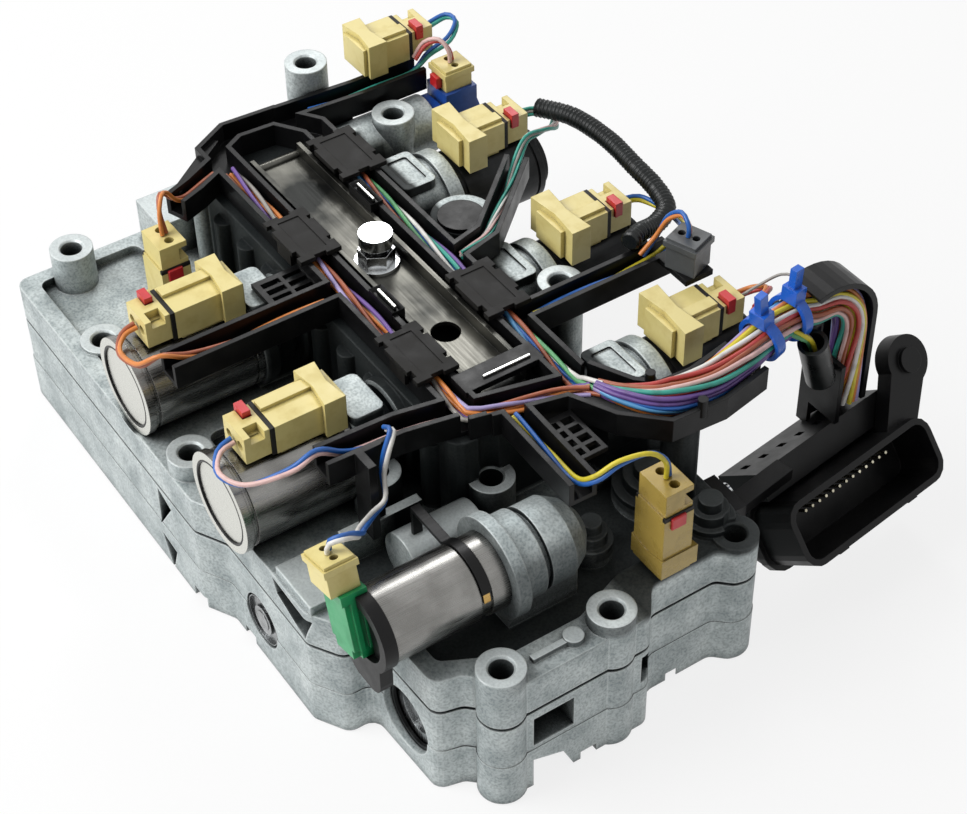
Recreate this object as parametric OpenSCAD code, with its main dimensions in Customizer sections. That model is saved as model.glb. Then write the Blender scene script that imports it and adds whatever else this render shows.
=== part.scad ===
/* [Castings] */
// Length of both castings along X
body_l = 230; // [222:1:245]
// Width of both castings along Y
body_w = 127; // [124:1:134]
// Height of the lower casting
lower_h = 32; // [30:1:38]
// Thickness of the separator plate
plate_t = 1.2; // [0.8:0.1:2]
// Height of the upper casting's flange
flange_h = 12.8; // [11:0.2:16]
// Depth of the oil pockets in the upper flange
pocket_d = 3; // [1:0.5:5]
// Rounding of the outline's corners
corner_r = 4; // [2:0.5:6]
// Height of the parting line on the lower casting
skirt_h = 16; // [8:1:20]
// How far the foot stands out below that line
skirt_out = 0.25; // [0.1:0.05:1.5]
// Height of the valve spine above the flange
spine_h = 30; // [28:1:34]

/* [Fixing bosses] */
// Outer diameter of the bolt bosses
boss_d = 14; // [12:0.5:15]
// Bolt hole through the bosses
bolt_hole_d = 7; // [6:0.1:8]
// Height of the low bosses above the flange
low_boss_h = 4.5; // [3:0.5:8]
// Height of the middle boss above the flange
mid_boss_h = 14; // [10:1:18]
// Height of the rear bosses above the flange
rear_boss_h = 31; // [28:1:36]
// Height of the far end boss above the flange
end_boss_h = 45; // [40:1:50]

/* [Front solenoids] */
// Height of the solenoid axes above the flange
sol_rise = 14.5; // [14:0.5:18]
// Diameter of the pressure solenoid cans
can_d = 30; // [26:0.5:31]
// Length of the pressure solenoid cans
can_l = 37; // [30:1:39]
// Diameter of the crimped end plates
end_plate_d = 31.4; // [31:0.2:34]
// Thickness of the crimped end plates
end_plate_t = 2.4; // [1.5:0.1:4]
// Diameter of the solenoid noses
nose_d = 18; // [14:0.5:20]
// Clearance of a nose in its bore, on the radius
nose_gap = 0.04; // [0.02:0.01:0.1]
// Place of the first pressure solenoid along X
sol1_x = -35; // [-38:1:-32]
// Place of the second pressure solenoid along X
sol2_x = 23; // [20:1:25]
// Place of the lock-up solenoid along X
lock_x = 86; // [83:1:87]
// Diameter of the lock-up solenoid can
lock_d = 22.8; // [18:0.2:24]
// Length of the lock-up solenoid can
lock_l = 36; // [32:0.5:38]

/* [Rear solenoids] */
// Diameter of the shift solenoid cans
rear_d = 26; // [22:0.5:27]
// Length of the shift solenoid cans
rear_l = 32; // [26:1:38]
// Place of the middle shift solenoid along X
rear_x = -3; // [-5:1:-1]
// Spacing of the shift solenoids
rear_pitch = 56; // [54:0.5:58]
// Diameter of the blue sensor
sensor_d = 16; // [12:0.5:18]
// Place of the blue sensor along X
sensor_x = -88; // [-90:1:-87]

/* [Valves] */
// Height of the valve bores above the base
valve_z = 16; // [15:0.5:17]
// Diameter of the spool lands
spool_d = 12; // [10:0.2:13]
// Radial clearance of a spool in its bore
spool_gap = 0.03; // [0.02:0.01:0.08]
// Stroke of the spools
spool_stroke = 6; // [3:0.5:7]
// Length of a spool
spool_l = 46; // [40:1:50]
// Wire of the valve springs
spring_wire = 1.1; // [0.8:0.1:1.4]
// Free room of a valve spring at rest
spring_l = 24; // [20:1:28]
// Diameter of the bore plugs
plug_d = 18; // [14.6:0.2:19]
// Length of the bore plugs
plug_l = 8; // [6:0.5:10]
// Diameter of the plug pins
plug_pin_d = 3; // [2:0.2:3.4]
// Place of the regulator valve along X
regulator_x = 31.8; // [29:0.5:34]
// Places of the two shift valves along X
shift_x = [-66, -22];
// Diameter of the accumulator piston
piston_d = 22; // [19:0.5:23]
// Length of the accumulator piston
piston_l = 20; // [16:1:24]
// Stroke of the accumulator piston
piston_stroke = 8; // [4:0.5:10]
// Room of the accumulator spring at rest
piston_spring_l = 26; // [22:1:30]
// Diameter of the check balls
ball_d = 5.5; // [4:0.5:6]

/* [Harness] */
// Height of the tray walls
tray_h = 8; // [6:0.5:10]
// Wall thickness of the tray
tray_t = 1.6; // [1.2:0.1:2.2]
// Width of the tray's two rails
rail_w = 10; // [9:0.5:11]
// Distance between the rails
rail_gap = 32.5; // [32:0.5:36]
// Middle of the tray along Y
tray_y = 19.3; // [18:0.1:20]
// Sheet thickness of the centre channel
channel_t = 1.5; // [1:0.1:2]
// Length of a plug's body
plug_body_l = 24; // [20:1:26]
// Width of a plug's body
plug_body_w = 13; // [11:0.5:14]
// Height of a plug's body
plug_body_h = 10; // [8:0.5:11]
// Diameter of a pair of solenoid leads
lead_d = 3.4; // [2.6:0.2:3.8]
// Diameter of the wire bundle
bundle_d = 11; // [9:0.5:12]
// Outer diameter of the corrugated conduit
conduit_d = 6.4; // [5:0.2:7]

/* [Main connector] */
// Length of the main connector
conn_l = 62; // [56:1:66]
// Height of the main connector's mouth
conn_h = 21; // [18:0.5:24]
// Depth of the main connector
conn_depth = 24; // [20:1:28]
// Wall of the main connector
conn_wall = 2; // [1.5:0.1:3]
// Pins in one row
pin_count = 13; // [8:1:14]
// Tilt of the mouth above level
conn_tilt = 38; // [30:1:45]
// Turn of the connector about Z
conn_turn = 8; // [5:1:10]

/* [Hidden] */
$fn = 48;

cast_grey = "#b4babd";
cream = "#e3cf8a";
black_plastic = "#26272a";
steel = "#9a9c9e";

// Edges and levels of the castings
x0 = -body_l / 2;
x1 = body_l / 2;
y0 = -(body_w - 1) / 2;
y1 = y0 + body_w;
z_up = lower_h + plate_t;
z_rim = z_up + flange_h;
z_floor = z_rim - pocket_d;
z_sol = z_rim + sol_rise;
z_spine = z_rim + spine_h;
inset_y = y0 + 5.4;
mouth_y = y0 + 20;
eps = 0.01;
seat_gap = 0.3;
rail_f = tray_y - rail_gap / 2;
rail_r = tray_y + rail_gap / 2;
// Centre of the hook that guides the wire bundle
hook_at = [x1 - 47.6, y1 + 46.6, z_spine + 1.5];

// Bolt bosses: place and height above the flange, all drilled through both castings
bosses = [
    [x1 - 5.3, -26, low_boss_h],
    [x1 - 5.3, 10.4, low_boss_h],
    [-8.2, y0 + 7.3, low_boss_h + 1.5],
    [x0 + 7.5, -45, mid_boss_h - 3],
    [57, 6.6, mid_boss_h],
    [rear_x + 17.6, y1 - 3.5, rear_boss_h],
    [sensor_x + 4, y1 - 0.6, rear_boss_h + 2],
    [x0 + 5, 46.5, end_boss_h],
    [x1 - 11, y1 - 6, 1],
    [sol1_x - 38, y0 + 10.5, 1]
];
// Blind boss in the upper casting alone
blind_boss = [37, -19, mid_boss_h];
// Bolts that hold the castings together from below
bolt_xy = [
    [x0 + 15, -30], [x0 + 20, 28], [-44, -45], [-44, 40], [4, -30], [4, 40],
    [60, 40], [64, -30], [x1 - 15, 38]
];
casting_bolt_d = 6;
bolt_head_d = 10;
bolt_head_h = 5.5;
head_recess = 7;
bolt_bite = 8;
chamfer = 0.6;

// Corner points of the outline, grown by g
function outline(g) = [
    [x0 - g, y0 - g], [4, y0 - g], [14, inset_y - g], [60, inset_y - g], [70 + g, inset_y + 6 - g],
    [70 + g, mouth_y - g], [x1 - 14 + g, mouth_y + 1 - g], [x1 - 12 + g, mouth_y + 9 - g],
    [x1 + g, -22], [x1 + g, 20], [x1 - 9 + g, 27], [x1 - 9 + g, y1 - 14], [x1 - 4 + g, y1 - 9],
    [x1 - 6 + g, y1 + g], [x0 - g, y1 + g]
];

// Points of a polygon with every corner rounded to r
function rounded(p, r) = [
    for (i = [0 : len(p) - 1])
        let (
            b = p[i],
            u = unit(p[(i + len(p) - 1) % len(p)] - b),
            v = unit(p[(i + 1) % len(p)] - b),
            half = acos(u * v) / 2,
            centre = b + unit(u + v) * r / sin(half),
            from = b + u * r / tan(half) - centre,
            to = b + v * r / tan(half) - centre
        )
        for (k = [0 : 4]) centre + r * unit(from * (1 - k / 4) + to * k / 4)
];
function unit(v) = v / norm(v);

module outline_2d(g = 0) {
    polygon(rounded(outline(g), corner_r));
    for (b = bosses) {
        translate([b.x, b.y]) circle(d = boss_d + 2 * g);
    }
}

// A cylinder along Y from y_from to y_to
module along_y(x, z, y_from, y_to, d) {
    translate([x, y_from, z]) rotate([-90, 0, 0]) cylinder(d = d, h = y_to - y_from);
}

// A box between two corners
module box(a, b) {
    translate(a) cube(b - a);
}

module bolt_holes(d, z_from, z_to) {
    for (b = bosses) {
        translate([b.x, b.y, z_from]) cylinder(d = d, h = z_to - z_from);
    }
}

// Points of one side of a strip of width w along the points p, lengthened by e at both ends
function strip_side(p, w, e, s) = [
    for (i = [0 : len(p) - 1])
        let (
            a = i > 0 ? unit(p[i] - p[i - 1]) : unit(p[1] - p[0]),
            b = i < len(p) - 1 ? unit(p[i + 1] - p[i]) : a,
            n = unit([-a.y - b.y, a.x + b.x]),
            reach = s * w / 2 / (n * [-a.y, a.x]),
            tail = i == 0 ? -e * b : (i == len(p) - 1 ? e * a : [0, 0])
        )
        p[i] + reach * n + tail
];
module strip(p, w, z, h, e = 0) {
    right = strip_side(p, w, e, -1);
    left = strip_side(p, w, e, 1);
    translate([0, 0, z]) linear_extrude(h) {
        polygon(concat(right, [for (i = [len(p) - 1 : -1 : 0]) left[i]]));
    }
}

// Oil tracks cut into both joint faces
track_w = 5;
tracks = [
    [[-108, -8], [-80, -8], [-80, -40]], [[-104, 8], [-60, 8]], [[-52, -20], [-52, 30]],
    [[-36, -30], [-36, 20], [-6, 20]], [[-8, -30], [-8, 10]], [[16, -45], [16, -10]],
    [[16, 0], [16, 40]], [[44, -10], [44, 40]], [[70, 20], [96, 20]], [[72, 52], [96, 52]]
];
module track_slots(z, depth) {
    for (t = tracks) {
        strip(t, track_w, z, depth, track_w / 2);
    }
}

// Valve bores: each starts at its mouth and runs inwards along dir
bore_d = spool_d + 2 * spool_gap;
valve_depth = plug_l + spring_l + spool_l + seat_gap;
valves = [[regulator_x, inset_y, 1], [shift_x[0], y1, -1], [shift_x[1], y1, -1]];

// Places a valve's pieces with the mouth at the origin and +Y running inwards
module at_valve(v) {
    translate([v[0], v[1], valve_z]) rotate(v[2] > 0 ? 0 : 180) children();
}
module valve_bore() {
    along_y(0, 0, -skirt_out - 1, plug_l, plug_d);
    along_y(0, 0, plug_l - eps, valve_depth, bore_d);
    for (k = [0 : 3]) {
        along_y(0, 0, plug_l + spring_l + 6 + k * 11, plug_l + spring_l + 11 + k * 11, bore_d + 5);
        translate([-3, plug_l + spring_l + 6 + k * 11, 0]) cube([6, 5, lower_h - valve_z + 1]);
    }
    translate([0, plug_l / 2, -plug_pin_d * 3]) cylinder(d = plug_pin_d, h = lower_h);
}

// Accumulator bore, mouth on the inset front wall
bore_gap = 0.04;
ring_at = 2.5;
ring_t = 1.2;
ring_lip = 1.4;
piston_floor = 4;
stop_d = 8;
stop_gap = 0.2;
piston_y = mouth_y + ring_at + ring_t + seat_gap;
piston_end = piston_y + piston_l + piston_spring_l;
module accumulator_bore() {
    stop_y = piston_y + piston_floor + piston_stroke + stop_gap;
    difference() {
        along_y(lock_x, valve_z, mouth_y - skirt_out - 3, piston_end, piston_d + 2 * bore_gap);
        along_y(lock_x, valve_z, stop_y, piston_end + 1, stop_d);
    }
    along_y(lock_x, valve_z, mouth_y + ring_at, mouth_y + ring_at + ring_t, piston_d + 2 * ring_lip);
}

// Windows and notches in the walls of the lower casting
module wall_windows() {
    box([x1 - 13, -19, 17.5], [x1 + 9, -5.5, 29]);
    box([x1 - 12, 17.6, 19], [x1 + 9, 22.6, 30]);
    box([x1 - 8, -3, -1], [x1 + 9, 2.5, 3]);
    translate([x1 - 14, 0, 0]) rotate([90, 0, 90]) linear_extrude(24) {
        polygon([[-19.2, -1], [-19.2, 11.5], [-9, 8], [-5, -1]]);
    }
    box([x1 - 20, 34, -1], [x1 + 9, 38, 3]);
    translate([-21, y0 - 9, 15]) rotate([-90, 0, 0]) linear_extrude(15) {
        polygon([[0, 0], [9, -13], [1, -16]]);
    }
    translate([-21, y0 - 9, 0]) rotate([-90, 0, 0]) linear_extrude(15) {
        polygon([[5, 1], [9, -9.5], [0, -11]]);
    }
    box([-2, y0 - 9, -1], [5, y0 + 5, 4]);
    box([20, y0 - 9, -1], [26, inset_y + 5, 3]);
}

module lower_body() {
    color(cast_grey) difference() {
        union() {
            linear_extrude(lower_h) outline_2d();
            linear_extrude(skirt_h) outline_2d(skirt_out);
        }
        bolt_holes(bolt_hole_d, -1, lower_h + 1);
        for (v = valves) {
            at_valve(v) valve_bore();
        }
        accumulator_bore();
        wall_windows();
        track_slots(lower_h - 5, 6);
        for (p = bolt_xy) {
            translate([p.x, p.y, -1]) cylinder(d = casting_bolt_d + 0.6, h = lower_h + 2);
            translate([p.x, p.y, -1]) cylinder(d = bolt_head_d + 2, h = head_recess + 1);
        }
    }
}

oil_hole_d = 2.5;
plate_in = 0.6;
module separator_plate() {
    color("#4a4c4d") translate([0, 0, lower_h]) difference() {
        linear_extrude(plate_t) outline_2d(-plate_in);
        bolt_holes(bolt_hole_d + 1, -1, plate_t + 1);
        for (p = bolt_xy) {
            translate([p.x, p.y, -1]) cylinder(d = casting_bolt_d + 0.8, h = plate_t + 2);
        }
        for (t = tracks) {
            translate([t[1].x, t[1].y, -1]) cylinder(d = oil_hole_d, h = plate_t + 2);
        }
    }
}

module casting_bolts() {
    color(steel) for (p = bolt_xy) {
        translate([p.x, p.y, head_recess - bolt_head_h]) difference() {
            union() {
                cylinder(d = bolt_head_d, h = bolt_head_h);
                cylinder(d = casting_bolt_d, h = z_up - head_recess + bolt_head_h + bolt_bite);
            }
            translate([0, 0, -1]) cylinder(d = 5.8, h = 4, $fn = 6);
        }
    }
}

// Check balls lie in pockets of the upper casting, on the separator plate
ball_xy = [[-88, -8], [-70, 8], [-52, 5], [16, 20], [84, 20]];
module check_balls() {
    color("#c8c8c8") for (p = ball_xy) {
        translate([p.x, p.y, z_up + ball_d / 2 + 0.02]) sphere(d = ball_d);
    }
}

// Seats of the solenoids: end face, then can, then the nose in the casting
sol_y = y0 + 1;
sol_seat = sol_y + end_plate_t + can_l;
front_x = [sol1_x, sol2_x];
nose_l = 18;
boss_wall = 7;
lock_y = y0 + 9;
lock_ring_t = 4;
lock_seat = lock_y + lock_ring_t + lock_l;
rear_seat = y1 + 2;
rear_places = [rear_x - rear_pitch, rear_x, rear_x + rear_pitch - 1];
sensor_z = z_sol + 6;
sensor_seat = y1 + 14;
spine_x0 = x0 + 15;
spine_x1 = 56;
spine_y0 = tray_y - 24;
spine_y1 = tray_y + 24;
// Short cast barrel beside the lock-up solenoid
barrel_x = lock_x - 24;
barrel_z = z_rim + 4;
barrel_d = 17;

// A flat plate of size w by l with corners rounded to r, centred along X
module plate(w, l, h, r) {
    linear_extrude(h) polygon(rounded([[-w / 2, 0], [w / 2, 0], [w / 2, l], [-w / 2, l]], r));
}

// Cast bore boss of a front solenoid: seat flange, barrel, groove and a ring that meets the spine
module front_boss(x) {
    r = nose_d / 2 + boss_wall;
    l = spine_y0 + 6 - sol_seat;
    translate([x, sol_seat, z_sol]) rotate([-90, 0, 0]) rotate_extrude() polygon([
        [0, 0], [r, 0], [r, 4.5], [r - 1.5, 6], [r - 4, 6], [r - 4, 12], [r - 5, 13], [r - 5, 14.4],
        [r - 2.4, 14.4], [r - 1.6, 15.2], [r - 1.6, l], [0, l]
    ]);
    box([x - nose_d / 2, sol_seat, z_floor - 1], [x + nose_d / 2, spine_y0 + 6, z_sol]);
    // Flat-topped block beside the plug
    translate([x, sol_seat + 0.2, z_sol]) plate(17, 10.8, z_spine + 1.5 - z_sol, 2.2);
}

// Cast bore boss of the lock-up solenoid: flange ring, waist, barrel and domed end
module lock_boss() {
    r = lock_d / 2;
    translate([lock_x, lock_seat, z_sol]) rotate([-90, 0, 0]) rotate_extrude() polygon([
        [0, 0], [r + 4, 0], [r + 4, 4], [r + 1.5, 4], [r + 1.5, 11], [r - 0.5, 11], [r - 0.5, 13],
        [r + 1, 13], [r + 1, 21], [r - 2, 26], [r - 6, 29], [0, 30]
    ]);
    box([lock_x - r + 3, lock_seat + 1, z_floor - 1], [lock_x + r - 3, lock_seat + 24, z_sol]);
}

// Cast bore boss of a rear solenoid, with a bare raised pad on top
module rear_boss(x) {
    along_y(x, z_sol, spine_y1 - 2, rear_seat, rear_d + 2);
    along_y(x, z_sol, rear_seat - 5, rear_seat, rear_d + 5);
    box([x - rear_d / 2, spine_y1 - 2, z_floor - 1], [x + rear_d / 2, rear_seat, z_sol]);
    translate([x, (spine_y1 + rear_seat) / 2 - 2, z_sol + rear_d / 2 - 1]) {
        difference() {
            translate([0, -6, 0]) plate(18, 12, 3, 2);
            translate([0, -3.6, 2.3]) plate(13.2, 7.2, 2, 1);
        }
    }
}

// Round stepped dome on the flange
module dome(x, y, d) {
    for (k = [0 : 2]) {
        translate([x, y, z_floor - 1]) cylinder(d = d * (1 - 0.26 * k), h = pocket_d + 4 + 3.5 * k);
    }
}

// Pockets that leave a rim round the flange's top
module flange_pockets() {
    translate([0, 0, z_floor]) linear_extrude(pocket_d + 1) {
        polygon(rounded([[x0 + 5, y0 + 6], [sol1_x - 18, y0 + 6], [sol1_x - 18, -14], [x0 + 5, -22]], 3));
        polygon(rounded([[sol1_x + 18, y0 + 17], [sol2_x - 18, y0 + 17], [sol2_x - 18, -10],
            [sol1_x + 18, -10]], 3));
        polygon(rounded([[45, -46], [62, -46], [66, mouth_y + 6], [x1 - 20, mouth_y + 6], [x1 - 11, -20],
            [x1 - 11, 4], [x1 - 18, 22], [x1 - 18, y1 - 8], [66, y1 - 8], [66, -10], [45, -10]], 3));
    }
}

module upper_solid() {
    difference() {
        translate([0, 0, z_up]) linear_extrude(flange_h) outline_2d();
        flange_pockets();
    }
    // Valve spine that carries the channel and the tray
    translate([0, 0, z_floor - 1]) linear_extrude(z_spine - z_floor + 1) {
        polygon(rounded([[spine_x0, spine_y0], [spine_x1, spine_y0], [spine_x1, spine_y1],
            [spine_x0, spine_y1]], 5));
    }
    for (k = [0 : 9]) {
        translate([spine_x0 + 9 + k * 15, spine_y0, z_floor - 1]) {
            cylinder(d = 7, h = z_spine - z_floor - 4);
        }
    }
    for (x = front_x) {
        front_boss(x);
    }
    for (x = rear_places) {
        rear_boss(x);
    }
    lock_boss();
    along_y(sensor_x, sensor_z, spine_y1 - 2, sensor_seat, sensor_d + 4);
    box([sensor_x - 9, spine_y1 - 2, z_floor - 1], [sensor_x + 9, y1 - 4, sensor_z]);
    for (b = concat(bosses, [blind_boss])) {
        translate([b.x, b.y, z_floor - 1]) cylinder(d = boss_d, h = z_rim - z_floor + 1 + b.z);
    }
    // Steps of the end wall and its tower
    box([x0 + 1, -18, z_floor - 1], [x0 + 18, 14, z_rim + 14]);
    box([x0 + 2, 12, z_floor - 1], [x0 + 19, 55, z_spine]);
    // Domes, tray post, flange rib with its round end, and a short cast barrel
    dome(x1 - 39, y1 - 14, 24);
    dome(x1 - 31, 22, 13);
    dome(x1 - 19, y1 - 9, 15);
    translate([post_xy.x, post_xy.y, z_floor - 1]) cylinder(d = 11, h = z_spine - z_floor + 1);
    translate([disc_at.x - 1.5, disc_at.y + 1.5, z_floor - 1]) {
        cylinder(d = disc_d + 5, h = z_spine - z_floor + 0.98);
    }
    strip([[x1 - 5.5, -16], [x1 - 5.5, -2.2]], 2, z_rim - 1, 2.5);
    translate([x1 - 5.5, -2.2, z_rim - 1]) cylinder(d = 6, h = 3);
    along_y(barrel_x, barrel_z, -27, spine_y0 + 2, barrel_d);
    strip([[48, -38], [48, -12]], 3, z_floor - 1, pocket_d + 10);
    box([43, inset_y + 1, z_rim - 1], [62, inset_y + 13, z_rim + 3]);
}
post_xy = [x1 - 33, y1 - 10];
// Round cap of the tray and the cast boss that it closes
disc_at = [rear_x - 25, rail_r + 17.5];
disc_d = 15;

module upper_body() {
    color(cast_grey) difference() {
        upper_solid();
        bolt_holes(bolt_hole_d, z_up - 1, z_spine + 40);
        for (b = bosses) {
            translate([b.x, b.y, z_rim + b.z - chamfer]) {
                cylinder(d1 = bolt_hole_d, d2 = bolt_hole_d + 4 * chamfer, h = 2 * chamfer);
            }
        }
        translate([blind_boss.x, blind_boss.y, z_rim]) cylinder(d = bolt_hole_d, h = 30);
        // Solenoid troughs and bores
        for (x = front_x) {
            along_y(x, z_sol, y0 - 9, sol_y + end_plate_t + 0.4, end_plate_d + 0.8);
            along_y(x, z_sol, sol_y, sol_seat, can_d + 0.8);
            along_y(x, z_sol, sol_seat - 1, sol_seat + nose_l + 1, nose_d + 2 * nose_gap);
        }
        along_y(lock_x, z_sol, lock_seat - 1, lock_seat + nose_l + 1, lock_nose_d + 2 * nose_gap);
        for (x = rear_places) {
            along_y(x, z_sol, rear_seat - nose_l - 1, rear_seat + 1, nose_d - 2 + 2 * nose_gap);
        }
        along_y(sensor_x, sensor_z, sensor_seat - 9, sensor_seat + 1, sensor_d - 6 + 2 * nose_gap);
        // Gallery under the centre channel and the hole for its bolt
        box([-60, tray_y - 8, z_spine - 8], [-34, tray_y + 8, z_spine + 1]);
        box([-10, tray_y - 8, z_spine - 8], [28, tray_y + 8, z_spine + 1]);
        translate([channel_bolt_x, tray_y, z_spine - 14]) cylinder(d = channel_bolt_d, h = 20);
        // Windows of the front wall and the tracks of the joint face
        translate([42, inset_y - 9, z_rim]) rotate([-90, 0, 0]) linear_extrude(14) {
            polygon([[0, 1.5], [2, 6.5], [17, 12], [20, 3]]);
        }
        track_slots(z_up - 1, 6);
        for (p = bolt_xy) {
            translate([p.x, p.y, z_up - 1]) cylinder(d = casting_bolt_d + 0.1, h = bolt_bite + 1.5);
        }
        for (p = ball_xy) {
            translate([p.x, p.y, z_up - 1]) cylinder(d = ball_d + 1, h = ball_d + 2);
        }
        along_y(bracket_screw_x, bracket_screw_z, y1 - 9, y1 + 1, bracket_screw_d + 0.1);
    }
}
lock_nose_d = 16;
channel_bolt_x = -23;
channel_bolt_d = 6;

// Valve pieces, each drawn from its bore's mouth
groove_d = spool_d - 4;
module spool() {
    translate([0, plug_l + spring_l, 0]) rotate([-90, 0, 0]) difference() {
        union() {
            cylinder(d = groove_d, h = spool_l);
            for (k = [0 : 3]) {
                translate([0, 0, k * 11]) cylinder(d = spool_d, h = 6);
            }
            translate([0, 0, spool_l - 5]) cylinder(d = spool_d, h = 5);
        }
        translate([0, 0, -1]) cylinder(d = groove_d - 4.5, h = 9);
    }
}

// Coil spring along +Y: a round wire swept along a helix whose ends lie flat
spring_sides = 6;
module coil(y_from, length, mean_d, wire, turns) {
    steps = turns * 10;
    lift = length - wire;
    path = [
        for (i = [0 : steps])
            let (a = i * 36, s = min(max((i - 5) / (steps - 10), 0), 1))
            [mean_d / 2 * cos(a), y_from + wire / 2 + lift * s, mean_d / 2 * sin(a)]
    ];
    rings = [
        for (i = [0 : steps])
            let (a = i * 36, out = [cos(a), 0, sin(a)])
            for (k = [0 : spring_sides - 1])
                let (t = k * 360 / spring_sides)
                path[i] + wire / 2 * (cos(t) * out + sin(t) * [0, 1, 0])
    ];
    tube(rings, steps + 1, spring_sides);
}

// Closes rings of equal count into a solid tube
module tube(points, rings, sides) {
    faces = concat(
        [[for (k = [sides - 1 : -1 : 0]) k]],
        [
            for (i = [0 : rings - 2]) for (k = [0 : sides - 1])
                let (a = i * sides + k, b = i * sides + (k + 1) % sides)
                each [[a, b, b + sides], [a, b + sides, a + sides]]
        ],
        [[for (k = [0 : sides - 1]) (rings - 1) * sides + k]]
    );
    polyhedron(points, faces);
}

spring_d = spool_d - 2.4;
spring_turns = 7;
module valve_spring() {
    coil(plug_l + 0.1, spring_l - 0.2, spring_d, spring_wire, spring_turns);
}
// Bore plug with a stem that stops the spool at the end of its stroke
module bore_plug() {
    rotate([-90, 0, 0]) difference() {
        union() {
            translate([0, 0, 0.2]) cylinder(d = plug_d - 1.4, h = 2);
            translate([0, 0, 1.4]) cylinder(d = plug_d - 0.1, h = plug_l - 1.4);
            cylinder(d = groove_d - 1.5, h = plug_l + spring_l - spool_stroke - stop_gap);
        }
        translate([0, 0, -0.8]) ring_groove(plug_d - 6, 2, 1.2);
        translate([0, plug_d / 2 + 1, plug_l / 2]) rotate([90, 0, 0]) {
            cylinder(d = plug_pin_d, h = plug_d + 2);
        }
    }
}

module regulator_spool() {
    color("#c9ccce") at_valve(valves[0]) spool();
}
module regulator_spring() {
    color(steel) at_valve(valves[0]) valve_spring();
}
module regulator_plug() {
    color("#a7abad") at_valve(valves[0]) bore_plug();
}
module shift_spool_1() {
    color("#c9ccce") at_valve(valves[1]) spool();
}
module shift_spring_1() {
    color(steel) at_valve(valves[1]) valve_spring();
}
module shift_plug_1() {
    color("#a7abad") at_valve(valves[1]) bore_plug();
}
module shift_spool_2() {
    color("#c9ccce") at_valve(valves[2]) spool();
}
module shift_spring_2() {
    color(steel) at_valve(valves[2]) valve_spring();
}
module shift_plug_2() {
    color("#a7abad") at_valve(valves[2]) bore_plug();
}
module plug_pins() {
    color(steel) for (v = valves) {
        at_valve(v) translate([0, plug_l / 2, -plug_pin_d * 3 + 0.2]) {
            cylinder(d = plug_pin_d - 0.1, h = lower_h - valve_z + plug_pin_d * 3 - 0.4);
        }
    }
}

module accumulator_piston() {
    color("#b9bcbe") translate([lock_x, piston_y, valve_z]) rotate([-90, 0, 0]) difference() {
        cylinder(d = piston_d, h = piston_l);
        translate([0, 0, piston_floor]) cylinder(d = piston_d - 6, h = piston_l);
        translate([0, 0, -1]) cylinder(d = piston_d - 9, h = 2.2);
        translate([0, 0, 6]) rotate_extrude() translate([piston_d / 2 - 1.2, 0]) square([2, 2]);
    }
}
module accumulator_spring() {
    room = piston_l - piston_floor + piston_spring_l;
    color(steel) translate([lock_x, 0, valve_z]) {
        coil(piston_y + piston_floor + 0.1, room - 0.2, piston_d - 9, 1.8, 8);
    }
}
module accumulator_ring() {
    color("#3a3b3c") translate([lock_x, mouth_y + ring_at + 0.1, valve_z]) rotate([-90, 0, 0]) {
        difference() {
            cylinder(d = piston_d + 2 * ring_lip - 0.2, h = ring_t - 0.2);
            translate([0, 0, -1]) cylinder(d = piston_d - 2.4, h = ring_t + 2);
            translate([-2, -piston_d, -1]) cube([4, piston_d, ring_t + 2]);
        }
    }
}

// Front pressure solenoid: crimped end plate, can with a rolled groove, nose with ring grooves
module pressure_solenoid(x) {
    difference() {
        union() {
            along_y(x, z_sol, sol_y, sol_y + end_plate_t, end_plate_d);
            along_y(x, z_sol, sol_y + end_plate_t, sol_seat, can_d);
            along_y(x, z_sol, sol_seat, sol_seat + nose_l, nose_d);
        }
        translate([x, sol_y, z_sol]) rotate([-90, 0, 0]) {
            translate([0, 0, -1]) cylinder(d = end_plate_d - 5, h = 1.5);
            translate([0, 0, end_plate_t + 1]) ring_groove(can_d, 0.8, 0.5);
            translate([0, 0, sol_seat - sol_y - 3]) ring_groove(can_d, 0.8, 0.5);
            for (k = [0 : 2]) {
                translate([0, 0, sol_seat - sol_y + 4 + 4.5 * k]) ring_groove(nose_d, 1.6, 1.2);
            }
        }
    }
}
module ring_groove(d, w, depth) {
    rotate_extrude() translate([d / 2 - depth, 0]) square([depth + 2, w]);
}
module pressure_solenoid_1() {
    color("#a9abac") pressure_solenoid(sol1_x);
}
module pressure_solenoid_2() {
    color("#a9abac") pressure_solenoid(sol2_x);
}

module lockup_solenoid() {
    color("#aeb0b1") difference() {
        union() {
            along_y(lock_x, z_sol, lock_y + lock_ring_t, lock_seat, lock_d);
            along_y(lock_x, z_sol, lock_seat, lock_seat + nose_l, lock_nose_d);
        }
        translate([lock_x, lock_seat, z_sol]) rotate([-90, 0, 0]) {
            translate([0, 0, -strap_w - strap_back - 0.3]) ring_groove(lock_d, strap_w + 0.6, strap_t);
            for (k = [0 : 2]) {
                translate([0, 0, 4 + 4.5 * k]) ring_groove(lock_nose_d, 1.6, 1.2);
            }
        }
    }
}

// Moulded end ring with a long lower lip, open in the middle and cut away for the terminal
lip_l = 20;
module lockup_end_ring() {
    color(black_plastic) difference() {
        union() {
            along_y(lock_x, z_sol, lock_y, lock_y + lock_ring_t, lock_d + 1);
            translate([lock_x, lock_y + lock_ring_t, z_sol]) rotate([90, 0, 0]) linear_extrude(lock_ring_t) {
                polygon(rounded([[-8, 0], [-8, -lip_l], [8, -lip_l], [8, 0]], 5));
            }
        }
        along_y(lock_x, z_sol, lock_y - 1, lock_y + 2, lock_d - 5);
        at_terminal() translate([-terminal_w / 2 - 1.2, -9, -terminal_l / 2 - 0.1]) {
            cube([terminal_w + 2.4, 10, terminal_l + 1]);
        }
    }
}

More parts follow.
